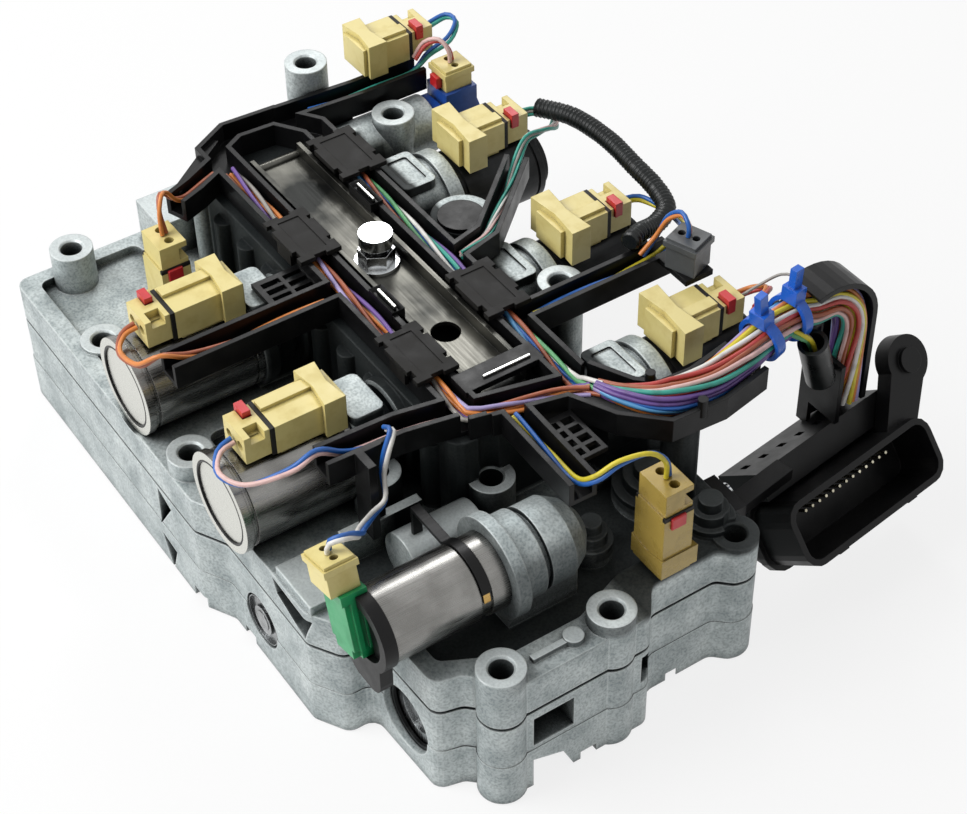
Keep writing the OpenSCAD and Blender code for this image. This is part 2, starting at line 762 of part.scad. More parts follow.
// Terminal housing on the can's end face, leaning up towards the plug
terminal_l = 22;
terminal_w = 12;
module at_terminal() {
    translate([lock_x - 7, lock_y + lock_ring_t - 0.02, z_sol + 0.7]) rotate([0, -14, 0]) children();
}
module lockup_terminal() {
    color("#1f9a5b") at_terminal() difference() {
        union() {
            translate([-terminal_w / 2, -7, -terminal_l / 2]) cube([terminal_w, 7, terminal_l - 1]);
            translate([-terminal_w / 2 - 1, -8, terminal_l / 2 - 3]) cube([terminal_w + 2, 8, 3]);
            // Ribs on the side towards the can's axis
            for (y = [-5.4, -2.6]) {
                translate([terminal_w / 2 - eps, y, -terminal_l / 2 + 3]) cube([1, 1.5, terminal_l - 5]);
            }
        }
        translate([-terminal_w / 2 + 1.5, -5.5, terminal_l / 2 - 5]) cube([terminal_w - 3, 4, 6]);
        translate([-terminal_w / 2 - 1, -8, -terminal_l / 2 - 1]) cube([2.5, 3, 4]);
        translate([terminal_w / 2 - 1.5, -8, -terminal_l / 2 - 1]) cube([2.5, 3, 4]);
    }
}

// Sprung steel leaf: a leg on the cast barrel, then over the can in its groove to a bent end
strap_w = 3;
strap_t = 0.8;
strap_back = 6;
strap_foot_x = barrel_x - 0.6;
module solenoid_strap() {
    y = lock_seat - strap_w - strap_back;
    r = lock_d / 2;
    leaf_z = z_sol + 0.6 * r;
    color("#2b2c2d") {
        difference() {
            along_y(lock_x, z_sol, y, y + strap_w, lock_d + 1.2);
            along_y(lock_x, z_sol, y - 1, y + strap_w + 1, lock_d - 2 * strap_t + 0.1);
            box([lock_x - r - 2, y - 1, z_sol - r - 2],
                [lock_x + r + 2, y + strap_w + 1, z_sol + 0.42 * r]);
            box([lock_x - r - 2, y - 1, z_sol], [lock_x - 0.8 * r, y + strap_w + 1, z_sol + r]);
        }
        box([strap_foot_x, y, leaf_z], [lock_x - 0.76 * r, y + strap_w, leaf_z + 1.2]);
        box([strap_foot_x, y, barrel_z + barrel_d / 2 + 0.02],
            [strap_foot_x + 1.2, y + strap_w, leaf_z + 1]);
    }
}

// Rear shift solenoid: dark can with a smaller stepped end
module shift_solenoid(x) {
    difference() {
        union() {
            along_y(x, z_sol, rear_seat, rear_seat + rear_l, rear_d);
            along_y(x, z_sol, rear_seat + rear_l, rear_seat + rear_l + 3, rear_d - 6);
            along_y(x, z_sol, rear_seat - nose_l, rear_seat, nose_d - 2);
        }
        translate([x, rear_seat, z_sol]) rotate([-90, 0, 0]) {
            translate([0, 0, 2]) ring_groove(rear_d, 1, 0.6);
            translate([0, 0, rear_l - 3]) ring_groove(rear_d, 1, 0.6);
            translate([0, 0, rear_l + 1]) cylinder(d = 8, h = 4);
            for (k = [0 : 2]) {
                translate([0, 0, -5 - 4.5 * k]) ring_groove(nose_d - 2, 1.6, 1.2);
            }
        }
    }
}
module shift_solenoid_1() {
    color("#4d4f51") shift_solenoid(rear_places[0]);
}
module shift_solenoid_2() {
    color("#4d4f51") shift_solenoid(rear_places[1]);
}
module shift_solenoid_3() {
    color("#4d4f51") shift_solenoid(rear_places[2]);
}

// Blue sensor with a hexagon collar and a square terminal tower
module blue_sensor() {
    color("#2f56a8") {
        along_y(sensor_x, sensor_z, sensor_seat - 8, sensor_seat, sensor_d - 6);
        translate([sensor_x, sensor_seat, sensor_z]) rotate([-90, 0, 0]) {
            cylinder(d = sensor_d + 2, h = 4, $fn = 6);
        }
        along_y(sensor_x, sensor_z, sensor_seat + 4, sensor_seat + 18, sensor_d - 2);
        box([sensor_x - 6, sensor_seat + 5, sensor_z], [sensor_x + 6, sensor_seat + 17, sensor_top]);
    }
}

// Plugs: place of the body's foot and turn; the cable leaves at the local -Y end
can_top = z_sol + can_d / 2;
rear_top = z_sol + rear_d / 2;
sensor_top = sensor_z + sensor_d / 2 + 4;
foot_h = 2;
plug_places = [
    [[sol1_x, sol_y + 27, can_top + 0.5], [0, 0, 0]],
    [[sol2_x, sol_y + 27, can_top + 0.5], [0, 0, 0]],
    [[x0 + 42.5, -32.5, z_floor + foot_h + plug_body_l / 2], [-90, 0, 0]],
    [[x1 - 14, 29, z_rim + foot_h + plug_body_l / 2], [-90, 0, 0]],
    [[rear_places[0], rear_seat + 12, rear_top + 0.5], [0, 0, 180]],
    [[rear_places[1], rear_seat + 12, rear_top + 0.5], [0, 0, 180]],
    [[rear_places[2], rear_seat + 12, rear_top + 0.5], [0, 0, 180]],
    [[x0 + 9, y1 + 8, z_spine + tray_h + 0.42], [0, 0, 180]]
];
module at_plug(i) {
    translate(plug_places[i][0]) rotate(plug_places[i][1]) children();
}

// Plug body: waisted collar, key rib, then a seal groove and the cable end with its lock slot
nose_w = plug_body_w - 1;
nose_l_out = 8;
cable_end = plug_body_l / 2 + nose_l_out;
rear_plug_l = plug_body_l - 5;
rear_cable_end = rear_plug_l / 2 + nose_l_out;
seal_w = 1.4;
module plug_body(collar_w, l = plug_body_l) {
    end = l / 2 + nose_l_out;
    difference() {
        union() {
            box([-plug_body_w / 2, -l / 2, 0], [plug_body_w / 2, l / 2, plug_body_h]);
            translate([0, l / 2 - 4.5, -0.4]) linear_extrude(plug_body_h + 2.4) polygon([
                [-collar_w / 2, -3.4], [0, -2.2], [collar_w / 2, -3.4],
                [collar_w / 2, 3.4], [0, 2.2], [-collar_w / 2, 3.4]
            ]);
            translate([-nose_w / 2, -end, 0.6]) cube([nose_w, 9, plug_body_h - 0.8]);
            translate([-plug_body_w / 2 + 1.5, -l / 2, plug_body_h - eps]) cube([4, l - 4, 1.2]);
        }
        for (s = [-1, 1]) {
            along_y(s * 3, plug_body_h / 2 + 0.5, -end - 1, -end + 6, 3);
            translate([s * plug_body_w / 2 - 1, -l / 2, -1]) cube([2, seal_w, plug_body_h + 2]);
        }
        translate([-plug_body_w, -l / 2, plug_body_h - 1]) cube([2 * plug_body_w, seal_w, 3]);
        translate([-nose_w / 2 - 1, -end + 3.8, plug_body_h - 3.5]) cube([lock_w + 1.2, 3, 5]);
        translate([1.5, -end + 2, plug_body_h - 3]) cube([nose_w, 4.4, 5]);
    }
}
// Foot of a plug that straddles a can of diameter d
saddle_gap = 0.15;
module saddle(d, l = plug_body_l) {
    difference() {
        translate([-plug_body_w / 2 + 1, -l / 2 + 3, -5]) cube([plug_body_w - 2, l - 8, 5 + eps]);
        along_y(0, -d / 2 - 0.5, -l, l, d + 2 * saddle_gap);
    }
}
module upright_foot() {
    translate([-plug_body_w / 2 + 2, plug_body_l / 2 - 1, 1]) {
        cube([plug_body_w - 4, foot_h + 1 - 0.02, plug_body_h - 2]);
    }
}
collar = plug_body_w + 4;
wide_collar = plug_body_w + 9;
module front_plug_1() {
    color(cream) at_plug(0) {
        plug_body(collar);
        saddle(can_d);
    }
}
module front_plug_2() {
    color(cream) at_plug(1) {
        plug_body(collar);
        saddle(can_d);
    }
}
module end_plug() {
    color(cream) at_plug(2) {
        plug_body(plug_body_w + 1);
        upright_foot();
    }
}
module corner_plug() {
    color(cream) at_plug(3) {
        plug_body(plug_body_w + 1);
        upright_foot();
    }
}
module rear_plug_1() {
    color(cream) at_plug(4) {
        plug_body(wide_collar, rear_plug_l);
        saddle(rear_d, rear_plug_l);
    }
}
module rear_plug_2() {
    color(cream) at_plug(5) {
        plug_body(wide_collar, rear_plug_l);
        saddle(rear_d, rear_plug_l);
    }
}
module rear_plug_3() {
    color(cream) at_plug(6) {
        plug_body(wide_collar, rear_plug_l);
        saddle(rear_d, rear_plug_l);
    }
}
module top_plug() {
    color(cream) at_plug(7) plug_body(collar, rear_plug_l);
}

// Small plugs: a square body with a lid and cable slots
module small_plug(w, l, h) {
    difference() {
        union() {
            translate([-w / 2, -l / 2, 0]) cube([w, l, h]);
            translate([-w / 2 - 0.7, -l / 2 - 0.7, h - 3]) cube([w + 1.4, l + 1.4, 2]);
        }
        for (s = [-1, 1]) {
            translate([s * w / 4, 0, h - 4]) cylinder(d = 2.4, h = 5);
        }
    }
}
module lockup_plug() {
    color(cream) at_terminal() translate([0, -5.4, terminal_l / 2 + 0.02]) small_plug(11, 9, 10);
}
module sensor_plug() {
    color(cream) translate([sensor_x, sensor_seat + 11, sensor_top + 0.02]) small_plug(9, 10, 8);
}
grey_plug_at = [rear_x + 40, rail_r + 55, z_spine + tray_h + 0.02];
module grey_plug() {
    color("#6d7072") translate(grey_plug_at) rotate([0, 0, 20]) small_plug(10, 9, 11);
}

lock_w = 4.4;
// Red locks pushed into the slots of the large plugs and the lids of the small ones
first_rear = 4;
module lock_bar(end) {
    translate([-nose_w / 2 - 0.8, -end + 4, plug_body_h - 3.3]) cube([lock_w + 0.6, 2.6, 5]);
}
module plug_locks() {
    color("#c8262c") {
        for (i = [0 : len(plug_places) - 1]) {
            at_plug(i) lock_bar(i < first_rear ? cable_end : rear_cable_end);
        }
        translate([sensor_x - 2, sensor_seat + 3.8, sensor_top + 1]) cube([4, 2, 4]);
    }
}

// Harness tray: open ducts along these runs, each a list of points and a width
arm_w = rail_w - 1;
tray_left = x0 + 20;
tray_right = 52;
basket_w = bundle_d + 2 * tray_t + 2;
runs = [
    [[[tray_right, rail_f], [tray_left, rail_f], [tray_left - 5, rail_f + 9], [tray_left - 4, rail_r - 8],
        [tray_left + 8, rail_r], [tray_right + 8, rail_r]], rail_w],
    [[[tray_right + 1, rail_f + 5], [tray_right + 7, rail_r - 3]], rail_w],
    [[[tray_left - 4.2, rail_r - 7], [tray_left - 2, rail_r + 22], [tray_left - 2, y1 + 18]], arm_w],
    [[[tray_left + 6, rail_f], [tray_left + 13, rail_f - 14], [tray_left + 16, -19]], arm_w - 1],
    [[[sol1_x + 21, rail_f], [sol1_x + 21, sol_y + 6]], arm_w],
    [[[tray_right - 3, rail_f + 1], [sol2_x + 22, -16], [sol2_x + 21, -40]], arm_w],
    [[[tray_right - 1, rail_f - 1], [tray_right + 2, rail_f + 11], [x1 - 23, 13]], arm_w],
    [[[tray_right + 6, rail_r - 0.5], [x1 - 43, 42], [x1 - 35, 50], [x1 - 34, y1], [x1 - 37, y1 + 16]],
        basket_w],
    [[[rear_x - 4, rail_r], [rear_x - 8, rail_r + 16], [rear_x - 33, rail_r + 44]], arm_w - 1],
    [[[rear_x + 29, rail_r], [rear_x + 29, rail_r + 57]], arm_w - 1]
];

// Solid of every run at a given inset from its outer wall, lengthened by e
module run_solid(inset, z, h, e) {
    for (r = runs) {
        strip(r[0], r[1] - 2 * inset, z, h, e);
    }
}

// Grid of slots in a flat web
module grid_web(at, size) {
    translate([at.x, at.y, z_spine + 2]) difference() {
        cube([size.x, size.y, tray_t]);
        for (i = [0 : 3]) for (j = [0 : 1]) {
            translate([2 + i * (size.x - 2) / 4, 2 + j * (size.y - 2) / 2, -1]) {
                cube([(size.x - 2) / 4 - 1.4, (size.y - 2) / 2 - 1.4, tray_t + 2]);
            }
        }
    }
}

module harness_tray() {
    color(black_plastic) {
        difference() {
            run_solid(0, z_spine, tray_h, 0);
            run_solid(tray_t, z_spine + tray_t, tray_h, 1);
        }
        grid_web([sol1_x + 1, rail_f - rail_w / 2 - 16], [16.5, 17]);
        grid_web([tray_right + 12, rail_f + 13.6], [18, 12]);
        strip([[tray_left - 5.6, rail_f + 3.2], [tray_left + 11.4, -16.4]], 3, z_spine, tray_h - 2);
        // Guide down to the lock-up solenoid and the bar across the channel
        box([sol2_x + 25, -32, z_spine - 20], [sol2_x + 33, -29.5, z_spine + tray_h]);
        box([sol2_x + 25, -32, z_spine - 20], [sol2_x + 26.6, -24, z_spine + tray_h]);
        translate([tray_right - 14, rail_f + 3, z_spine + tray_h - 2]) cube([8, rail_gap - 6, 2]);
        // Clip posts over the basket
        for (p = [[x1 - 44.2, 51.2], [x1 - 27.2, 56.5]]) {
            translate([p.x, p.y, z_spine + tray_h - 3]) cylinder(d = 3, h = 6);
        }
        // Disc over the spine beside the rear rail
        translate([disc_at.x, disc_at.y, z_spine]) cylinder(d = disc_d, h = tray_t);
        strip([disc_at, disc_at + [12, 0]], 5, z_spine, tray_t);
        // Ledges under the top plug and the grey plug
        box([x0 + 3, y1 + 2, z_spine + tray_h - 2], [tray_left - 5, y1 + 16, z_spine + tray_h]);
        box([rear_x + 31, rail_r + 50, z_spine + tray_h - 2], [rear_x + 46, rail_r + 60, z_spine + tray_h]);
    }
}

// Snap covers over the ducts: a plain plate with notched edges and a clip tongue on each long side
cover_at = [
    [tray_left + 28, rail_r, rail_w + 6], [-39, rail_f, rail_w + 4],
    [25, rail_f, rail_w + 4], [13, rail_r, rail_w + 5]
];
cover_l = 23;
module duct_cover(i) {
    c = cover_at[i];
    translate([c.x, c.y, z_spine + tray_h]) {
        difference() {
            translate([-cover_l / 2, -c.z / 2, 0]) cube([cover_l, c.z, tray_t]);
            for (s = [-1, 1]) {
                translate([s * 7.5 - 1.5, -c.z / 2 - 1, -1]) cube([3, 2.4, tray_t + 2]);
                translate([s * 6 - 1, c.z / 2 - 1.4, -1]) cube([2, 2.4, tray_t + 2]);
                translate([s * cover_l / 2 - 1, -2, -1]) cube([2, 4, tray_t + 2]);
            }
            translate([-cover_l / 2 + 3, -c.z / 2 + 3.4, tray_t - 0.3]) cube([cover_l - 6, c.z - 6.8, 1]);
        }
        for (s = [-1, 1]) {
            translate([-4, s * (rail_w / 2 + 0.9) - 0.7, -5]) cube([8, 1.4, 5 + eps]);
        }
    }
}
module duct_cover_1() {
    color(black_plastic) duct_cover(0);
}
module duct_cover_2() {
    color(black_plastic) duct_cover(1);
}
module duct_cover_3() {
    color(black_plastic) duct_cover(2);
}
module duct_cover_4() {
    color(black_plastic) duct_cover(3);
}

// Pressed channel on the spine: floor, two upturned sides and a rolled end lip
channel_x0 = tray_left + 11;
channel_x1 = tray_right - 7;
channel_w = rail_gap - rail_w - 4;
channel_side = 6;
module centre_channel() {
    l = channel_x1 - channel_x0;
    color("#8f9192") translate([channel_x0, tray_y - channel_w / 2, z_spine]) difference() {
        union() {
            cube([l, channel_w, channel_t]);
            cube([l, channel_t, channel_side]);
            translate([0, channel_w - channel_t, 0]) cube([l, channel_t, channel_side]);
            along_y(0, channel_t, 0, channel_w, 2 * channel_t);
        }
        for (hole = [[channel_bolt_x, channel_bolt_d + 0.6], [15, 9]]) {
            translate([hole[0] - channel_x0, channel_w / 2, -5]) cylinder(d = hole[1], h = 20);
        }
        translate([-9, -1, -9]) cube([60, channel_w + 2, 9]);
    }
}

// Flange bolt with a tall round pilot on a hexagon
module channel_bolt() {
    color("#d4d6d8") translate([channel_bolt_x, tray_y, z_spine + channel_t]) {
        cylinder(d = 14, h = 1.4);
        translate([0, 0, 1.4]) cylinder(d = 11.5, h = 4.6, $fn = 6);
        translate([0, 0, 6]) cylinder(d = 6, h = 2);
        translate([0, 0, 8]) cylinder(d = 10.5, h = 4);
        translate([0, 0, -channel_t - 12]) cylinder(d = channel_bolt_d - 0.1, h = channel_t + 12 + eps);
    }
}

// Cords: a smooth tube through hand-chosen points, given from the spine's top upwards
cord_sides = 8;
function curve(p, t) =
    let (
        n = len(p) - 1,
        i = min(floor(t), n - 1),
        s = t - i,
        a = p[max(i - 1, 0)],
        b = p[i],
        c = p[i + 1],
        d = p[min(i + 2, n)]
    )
    0.5 * (2 * b + (c - a) * s + (2 * a - 5 * b + 4 * c - d) * s * s + (3 * b - a - 3 * c + d) * s * s * s);
module cord(points, d, steps = 3, waist = 1) {
    last = (len(points) - 1) * steps;
    path = [for (k = [0 : last]) curve(points, k / steps) + [0, 0, z_spine]];
    rings = [
        for (k = [0 : last])
            let (
                t = unit(path[min(k + 1, last)] - path[max(k - 1, 0)]),
                side = unit(cross(t, [0.31, 0.17, 0.93])),
                up = cross(side, t)
            )
            for (j = [0 : cord_sides - 1])
                path[k] + d / 2 * (k % 2 == 0 ? 1 : waist)
                    * (cos(j * 360 / cord_sides) * side + sin(j * 360 / cord_sides) * up)
    ];
    tube(rings, last + 1, cord_sides);
}

// Wires of the two rails, then the leads of the plugs
wire_z = 4.4;
rail_wire_d = 5;
module tray_wires() {
    l = (tray_right - tray_left - 17) / 5;
    color("#6a5a9a") {
        cord([for (k = [0 : 5]) [tray_left + 11 + k * l, rail_f, wire_z]], rail_wire_d, 2);
        cord([for (k = [0 : 5]) [tray_left + 19 + k * l, rail_r, wire_z]], rail_wire_d, 2);
    }
}
leads = [
    [[-35, -55.5, 5.5], [-34.5, -60, 4.5], [-29, -64, 3.5], [-20, -62.5, 4.5], [-14.8, -57.5, 9.4],
        [-14, -49, 6], [-14, -38, 4.2], [-14, -24, 4.2], [-14, -4.5, 4.2]],
    [[23, -55.5, 5.5], [24, -60.5, 4.5], [30, -64, 3], [38, -60, 3], [43.6, -49, 7], [44, -41, 9.8],
        [44.2, -34, 6], [44.5, -28, 4.4], [46, -16, 4.2], [48, -4, 4.2]],
    [[73.9, -55.4, 6.1], [74.2, -55, 9.5], [76, -50, 10.5], [73.5, -45.5, 6], [66, -41, -1],
        [60.2, -34, -4.5], [57.8, -28.5, -4], [53.5, -26.3, 1], [52.5, -24.3, 7], [50.5, -21, 11.9],
        [46.8, -21, 9.8]],
    [[x0 + 42.5, -27, 1.4], [x0 + 41, -27, 8], [x0 + 38.5, -25, 12.5], [x0 + 36.5, -22.5, 11.5],
        [x0 + 36, -19.6, 7.5], [x0 + 34.7, -15.5, 4.9], [x0 + 33, -11, 4.6], [x0 + 28.5, -2, 4.6]],
    [[x1 - 14, 34.5, 4.4], [x1 - 14.5, 34, 10], [x1 - 15.5, 29, 15], [x1 - 18, 21, 14],
        [x1 - 20.5, 15, 9.5], [x1 - 27, 13.1, 5], [x1 - 41, 13.5, 4.6], [tray_right + 6, 13.9, 4.6]],
    [[x0 + 9, y1 + 26.9, 13.9], [x0 + 10, y1 + 34, 15.9], [x0 + 15, y1 + 35, 15.9],
        [x0 + 18, y1 + 30, 12.5], [x0 + 18, y1 + 22, 9.8], [x0 + 18, y1 + 14, 5], [x0 + 18, 60, 4.6],
        [x0 + 16.5, 40, 4.6]],
    [[sensor_x, y1 + 25, 10.9], [sensor_x - 0.5, y1 + 24.5, 15], [sensor_x - 4, y1 + 23, 17.5],
        [sensor_x - 8, y1 + 20, 15], [x0 + 18, y1 + 16.5, 10]],
    [[-59, 96.9, 3.5], [-57.5, 102, 3.2], [-52, 104.5, 3.2], [-45, 100, 5], [-40, 92, 9.5],
        [-38.5, 85, 10.6], [-35.5, 79, 6], [-27, 69.5, 4.6], [-16.5, 57.7, 4.6], [-11.4, 51.3, 4.6],
        [-9.4, 45, 4.6], [-8.2, 40.5, 4.6]],
    [[-3, 96.9, 3.5], [-1.5, 102, 3.2], [6, 104.5, 3.2], [16, 104, 4.5], [23, 100, 8.5],
        [25.8, 95, 9.6], [26, 88, 5.5], [26, 76, 4.6], [26, 60, 4.6], [26, 42.5, 4.6]],
    [[52, 96.9, 3.5], [53.5, 102, 4.5], [x1 - 56.5, 103.5, 8], [x1 - 52.2, 99, 11],
        [x1 - 47.4, 90.5, 12.5]],
    [[37, 90.5, 19.3], [36.8, 90.5, 22.5], [32.5, 91, 24], [28, 89.5, 20], [26.4, 87, 13.5],
        [26, 82, 8]]
];
module solenoid_leads() {
    color("#3465b0") for (p = leads) {
        cord(p, lead_d);
    }
}

// Bundle from the basket through the hook to the back of the main connector
bundle_route = [
    [tray_right + 12, 37.6, 7.8], [x1 - 44, 41.3, 7.8], [x1 - 36.5, 49.5, 7.8], [x1 - 34.2, y1 - 1, 7.8],
    [x1 - 36.2, y1 + 12, 8.6], [x1 - 38.4, y1 + 24, 10.8], [x1 - 40.8, y1 + 36, 10.5],
    [x1 - 40.4, y1 + 42.5, 10], [x1 - 39.8, y1 + 49, 10.6], [x1 - 39, y1 + 54, 6.9],
    [x1 - 38.4, y1 + 56.2, 0.6], [x1 - 38, y1 + 56.2, -10], [x1 - 37.7, y1 + 56.2, -20],
    [x1 - 37.4, y1 + 56.2, -29]
];
module main_bundle() {
    color("#8a6fae") cord(bundle_route, bundle_d);
}

// Corrugated conduit: ridges and waists in turn
conduit_route = [
    [-52, 99, 9], [-40, 104, 10.5], [-24, 106, 10.5], [-8, 105, 10], [4, 104, 9.5], [13, 101, 9],
    [17, 94, 8.6], [19.5, 86, 10.8], [22.5, 80, 11.8]
];
module conduit() {
    color("#1f2021") cord(conduit_route, conduit_d, 9, 0.8);
}

// Cable ties: a band round the bundle with its head and cut tail on top
tie_at = [4.85, 5.85];
tie_gap = 0.4;
tie_t = 1.4;
tie_w = 3.2;
module cable_ties() {
    color("#2366d0") for (t = tie_at) {
        v = unit(curve(bundle_route, t + 0.05) - curve(bundle_route, t - 0.05));
        head = bundle_d / 2 + tie_gap + tie_t;
        translate(curve(bundle_route, t) + [0, 0, z_spine]) rotate([0, acos(v.z), atan2(v.y, v.x)]) {
            difference() {
                union() {
                    translate([0, 0, -tie_w / 2]) cylinder(d = 2 * head, h = tie_w);
                    box([-head - 3.6, -2.75, -2.2], [-head + 1.4, 2.75, 2.2]);
                    box([-head - 10, -1.2, -tie_w / 2], [-head, 1.2, tie_w / 2]);
                }
                translate([0, 0, -tie_w]) cylinder(d = bundle_d + 2 * tie_gap, h = 2 * tie_w);
            }
        }
    }
}

// A rod of diameter d between two points
module rod(p, q, d) {
    v = q - p;
    translate(p) rotate([0, acos(v.z / norm(v)), atan2(v.y, v.x)]) cylinder(d = d, h = norm(v));
}

// Split sleeve that ends beside the hook
sleeve_d = 9;
sleeve_from = [hook_at.x + 14.2, hook_at.y - 9, z_spine + 4.2];
sleeve_to = [hook_at.x + 12.6, hook_at.y - 2.55, z_spine - 14];
module bundle_sleeve() {
    color("#1b1c1d") difference() {
        rod(sleeve_from, sleeve_to, sleeve_d);
        rod(sleeve_from + (sleeve_from - sleeve_to), sleeve_to * 2 - sleeve_from, sleeve_d - 2.4);
    }
}

// Main connector: its mouth faces outwards and up, beyond the corner of the castings
conn_at = [x1 - 11, y1 + 46, z_up];
module at_connector() {
    translate(conn_at) rotate([0, -conn_tilt, conn_turn]) children();
}
// A block with rounded corners, from depth d0 to d1 behind the mouth
module mouth_block(l, h, r, d0, d1) {
    translate([-d1, 0, 0]) rotate([90, 0, 90]) linear_extrude(d1 - d0) {
        polygon(rounded([[-l / 2, -h / 2], [l / 2, -h / 2], [l / 2, h / 2], [-l / 2, h / 2]], r));
    }
}
conn_back = 7;
lug_at = [conn_l / 2 + 5, conn_h / 2 + 15];
lug_back = 9;
lug_t = 6;
module main_connector() {
    color("#17181a") at_connector() difference() {
        union() {
            mouth_block(conn_l, conn_h, 6, 0, conn_depth);
            mouth_block(conn_l + 3, conn_h + 3, 7, conn_depth - 7, conn_depth - 4);
            // Keys on the sides of the mouth
            for (s = [-1, 1]) {
                translate([-12, s * conn_l / 4 - 2, -conn_h / 2 - 1.2]) cube([10, 4, 3]);
            }
            // Lug with a round pin seat, standing on the far end
            translate([-lug_back, 0, 0]) rotate([90, 0, 90]) linear_extrude(lug_t) polygon([
                [conn_l / 2 - 14, conn_h / 2 - 1], [conn_l / 2 - 3, conn_h / 2 - 5],
                [lug_at.x + 7.6, lug_at.y - 2], [lug_at.x - 7.6, lug_at.y]
            ]);
            translate([-lug_back, lug_at.x, lug_at.y]) rotate([0, 90, 0]) cylinder(d = 16, h = lug_t);
            translate([-lug_back, lug_at.x, lug_at.y]) rotate([0, 90, 0]) cylinder(d = 8, h = lug_t + 1.5);
        }
        mouth_block(conn_l - 2 * conn_wall, conn_h - 2 * conn_wall, 4, -1, conn_depth - conn_back);
        // Pockets in the back that lighten the moulding
        for (k = [-1 : 1]) {
            translate([-conn_depth - 1, k * 15 - 6, -8]) cube([4, 12, 16]);
        }
    }
}

pin_pitch = 3;
pin_d = 1;
pin_rows = [3.5, 6.5];
module connector_pins() {
    color("#c9c2a4") at_connector() for (z = pin_rows) {
        for (k = [0 : pin_count - 1]) {
            translate([-conn_depth + conn_back, (k - (pin_count - 1) / 2) * pin_pitch, z]) {
                rotate([0, 90, 0]) cylinder(d = pin_d, h = 9);
            }
        }
    }
}

// A flat bar between two points, w wide and t thick
module bar(p, q, w, t) {
    d = q - p;
    translate(p) rotate([0, -asin(d.z / norm(d)), atan2(d.y, d.x)]) {
        translate([0, -w / 2, -t / 2]) cube([norm(d), w, t]);
    }
}

// Bracket: foot on the rear wall, strip along the connector, wire cover and hook-shaped guide
foot_x = x1 - 24;
foot_t = 4;
bracket_screw_d = 4;
bracket_screw_x = foot_x - 5.5;
bracket_screw_z = z_up + flange_h / 2;
hook_at_yz = [hook_at.y, hook_at.z];
hook_end = 112;
hook_r = 17.4;
hook_in = 7;
hook_wall = 1.8;
hook_deep = 12.6;
cover_h = 9;
// Points of the hook at radius r, from its free end over the top and down the leg to z
function hook_line(r, z) = concat(
    [for (k = [0 : 12]) hook_at_yz + r * [cos(hook_end * (1 - k / 12)), sin(hook_end * (1 - k / 12))]],
    [[hook_at.y + r, z]]
);
// A band of the hook between two radii, from depth x_from to x_to
module hook_band(r_in, r_out, z, x_from, x_to) {
    inner = hook_line(r_in, z);
    translate([hook_at.x + x_from, 0, 0]) rotate([90, 0, 90]) linear_extrude(x_to - x_from) {
        polygon(concat(hook_line(r_out, z), [for (i = [len(inner) - 1 : -1 : 0]) inner[i]]));
    }
}
module connector_bracket() {
    leg_y = hook_at.y + 1.8;
    color("#232427") {
        difference() {
            box([foot_x - 9, y1 + 0.02, z_up + 1], [foot_x + 6, y1 + foot_t, z_rim]);
            along_y(bracket_screw_x, bracket_screw_z, y1 - 1, y1 + foot_t + 1, bracket_screw_d + 0.4);
        }
        bar([foot_x + 2.6, y1 + 1.5, z_rim - 3], [foot_x - 2, y1 + 25, z_rim - 4], 6, 4);
        difference() {
            at_connector() difference() {
                translate([-conn_depth - 4, -conn_l / 2 + 3, conn_h / 2 + 1.52]) {
                    cube([conn_depth - 5.4, conn_l - 8, cover_h]);
                }
                for (k = [0 : 4]) {
                    translate([-conn_depth - 5, -conn_l / 2 + 8 + k * 10, conn_h / 2 + 5]) cube([5, 5, 2]);
                    translate([-conn_depth + 2 + k, -conn_l / 2 + 7 + k * 7, conn_h / 2 + cover_h]) {
                        cube([3, 2.4, 2]);
                    }
                }
            }
            translate([x1 - 37.4, y1 + 56.2, z_spine - 32]) cylinder(d = bundle_d + 1.6, h = 30);
        }
        hook_band(hook_in, hook_r, z_rim - 12, 0, hook_wall);
        hook_band(hook_r - hook_wall, hook_r, z_rim - 2.5, 0, hook_deep);
        box([hook_at.x, leg_y, z_rim - 12], [hook_at.x + 4.6, leg_y + 1.6, hook_at.z - 4]);
        box([hook_at.x + 3, leg_y, z_rim - 2.5], [hook_at.x + hook_deep + 4, leg_y + 1.6, z_spine - 10]);
        box([hook_at.x, leg_y, z_rim - 12], [hook_at.x + hook_wall, hook_at.y + hook_in + 1, z_rim + 14]);
    }
}
module bracket_screw() {
    color(steel) {
        along_y(bracket_screw_x, bracket_screw_z, y1 - 8, y1 + foot_t + 1, bracket_screw_d);
        along_y(bracket_screw_x, bracket_screw_z, y1 + foot_t + 0.02, y1 + foot_t + 3, 6.5);
    }
}

upper_body();
separator_plate();
lower_body();
casting_bolts();
check_balls();
regulator_spool();
regulator_spring();
regulator_plug();
shift_spool_1();
shift_spring_1();
shift_plug_1();
shift_spool_2();
shift_spring_2();
shift_plug_2();
plug_pins();
accumulator_piston();
accumulator_spring();
accumulator_ring();
pressure_solenoid_1();
pressure_solenoid_2();
lockup_solenoid();
lockup_end_ring();
lockup_terminal();
solenoid_strap();
shift_solenoid_1();
shift_solenoid_2();
shift_solenoid_3();
blue_sensor();
front_plug_1();
front_plug_2();
lockup_plug();
end_plug();
corner_plug();
rear_plug_1();
rear_plug_2();
rear_plug_3();
top_plug();
sensor_plug();
grey_plug();
plug_locks();
harness_tray();
duct_cover_1();
duct_cover_2();
duct_cover_3();
duct_cover_4();
centre_channel();
channel_bolt();
conduit();
tray_wires();
solenoid_leads();
main_bundle();
cable_ties();
bundle_sleeve();
main_connector();
connector_pins();
connector_bracket();
bracket_screw();
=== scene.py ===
"""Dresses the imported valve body: finishes for its solids, single wires, conduit, coils and trim."""

import logging
import math
from dataclasses import dataclass, field
from enum import Enum

import bmesh
import bpy
from mathutils import Matrix, Vector


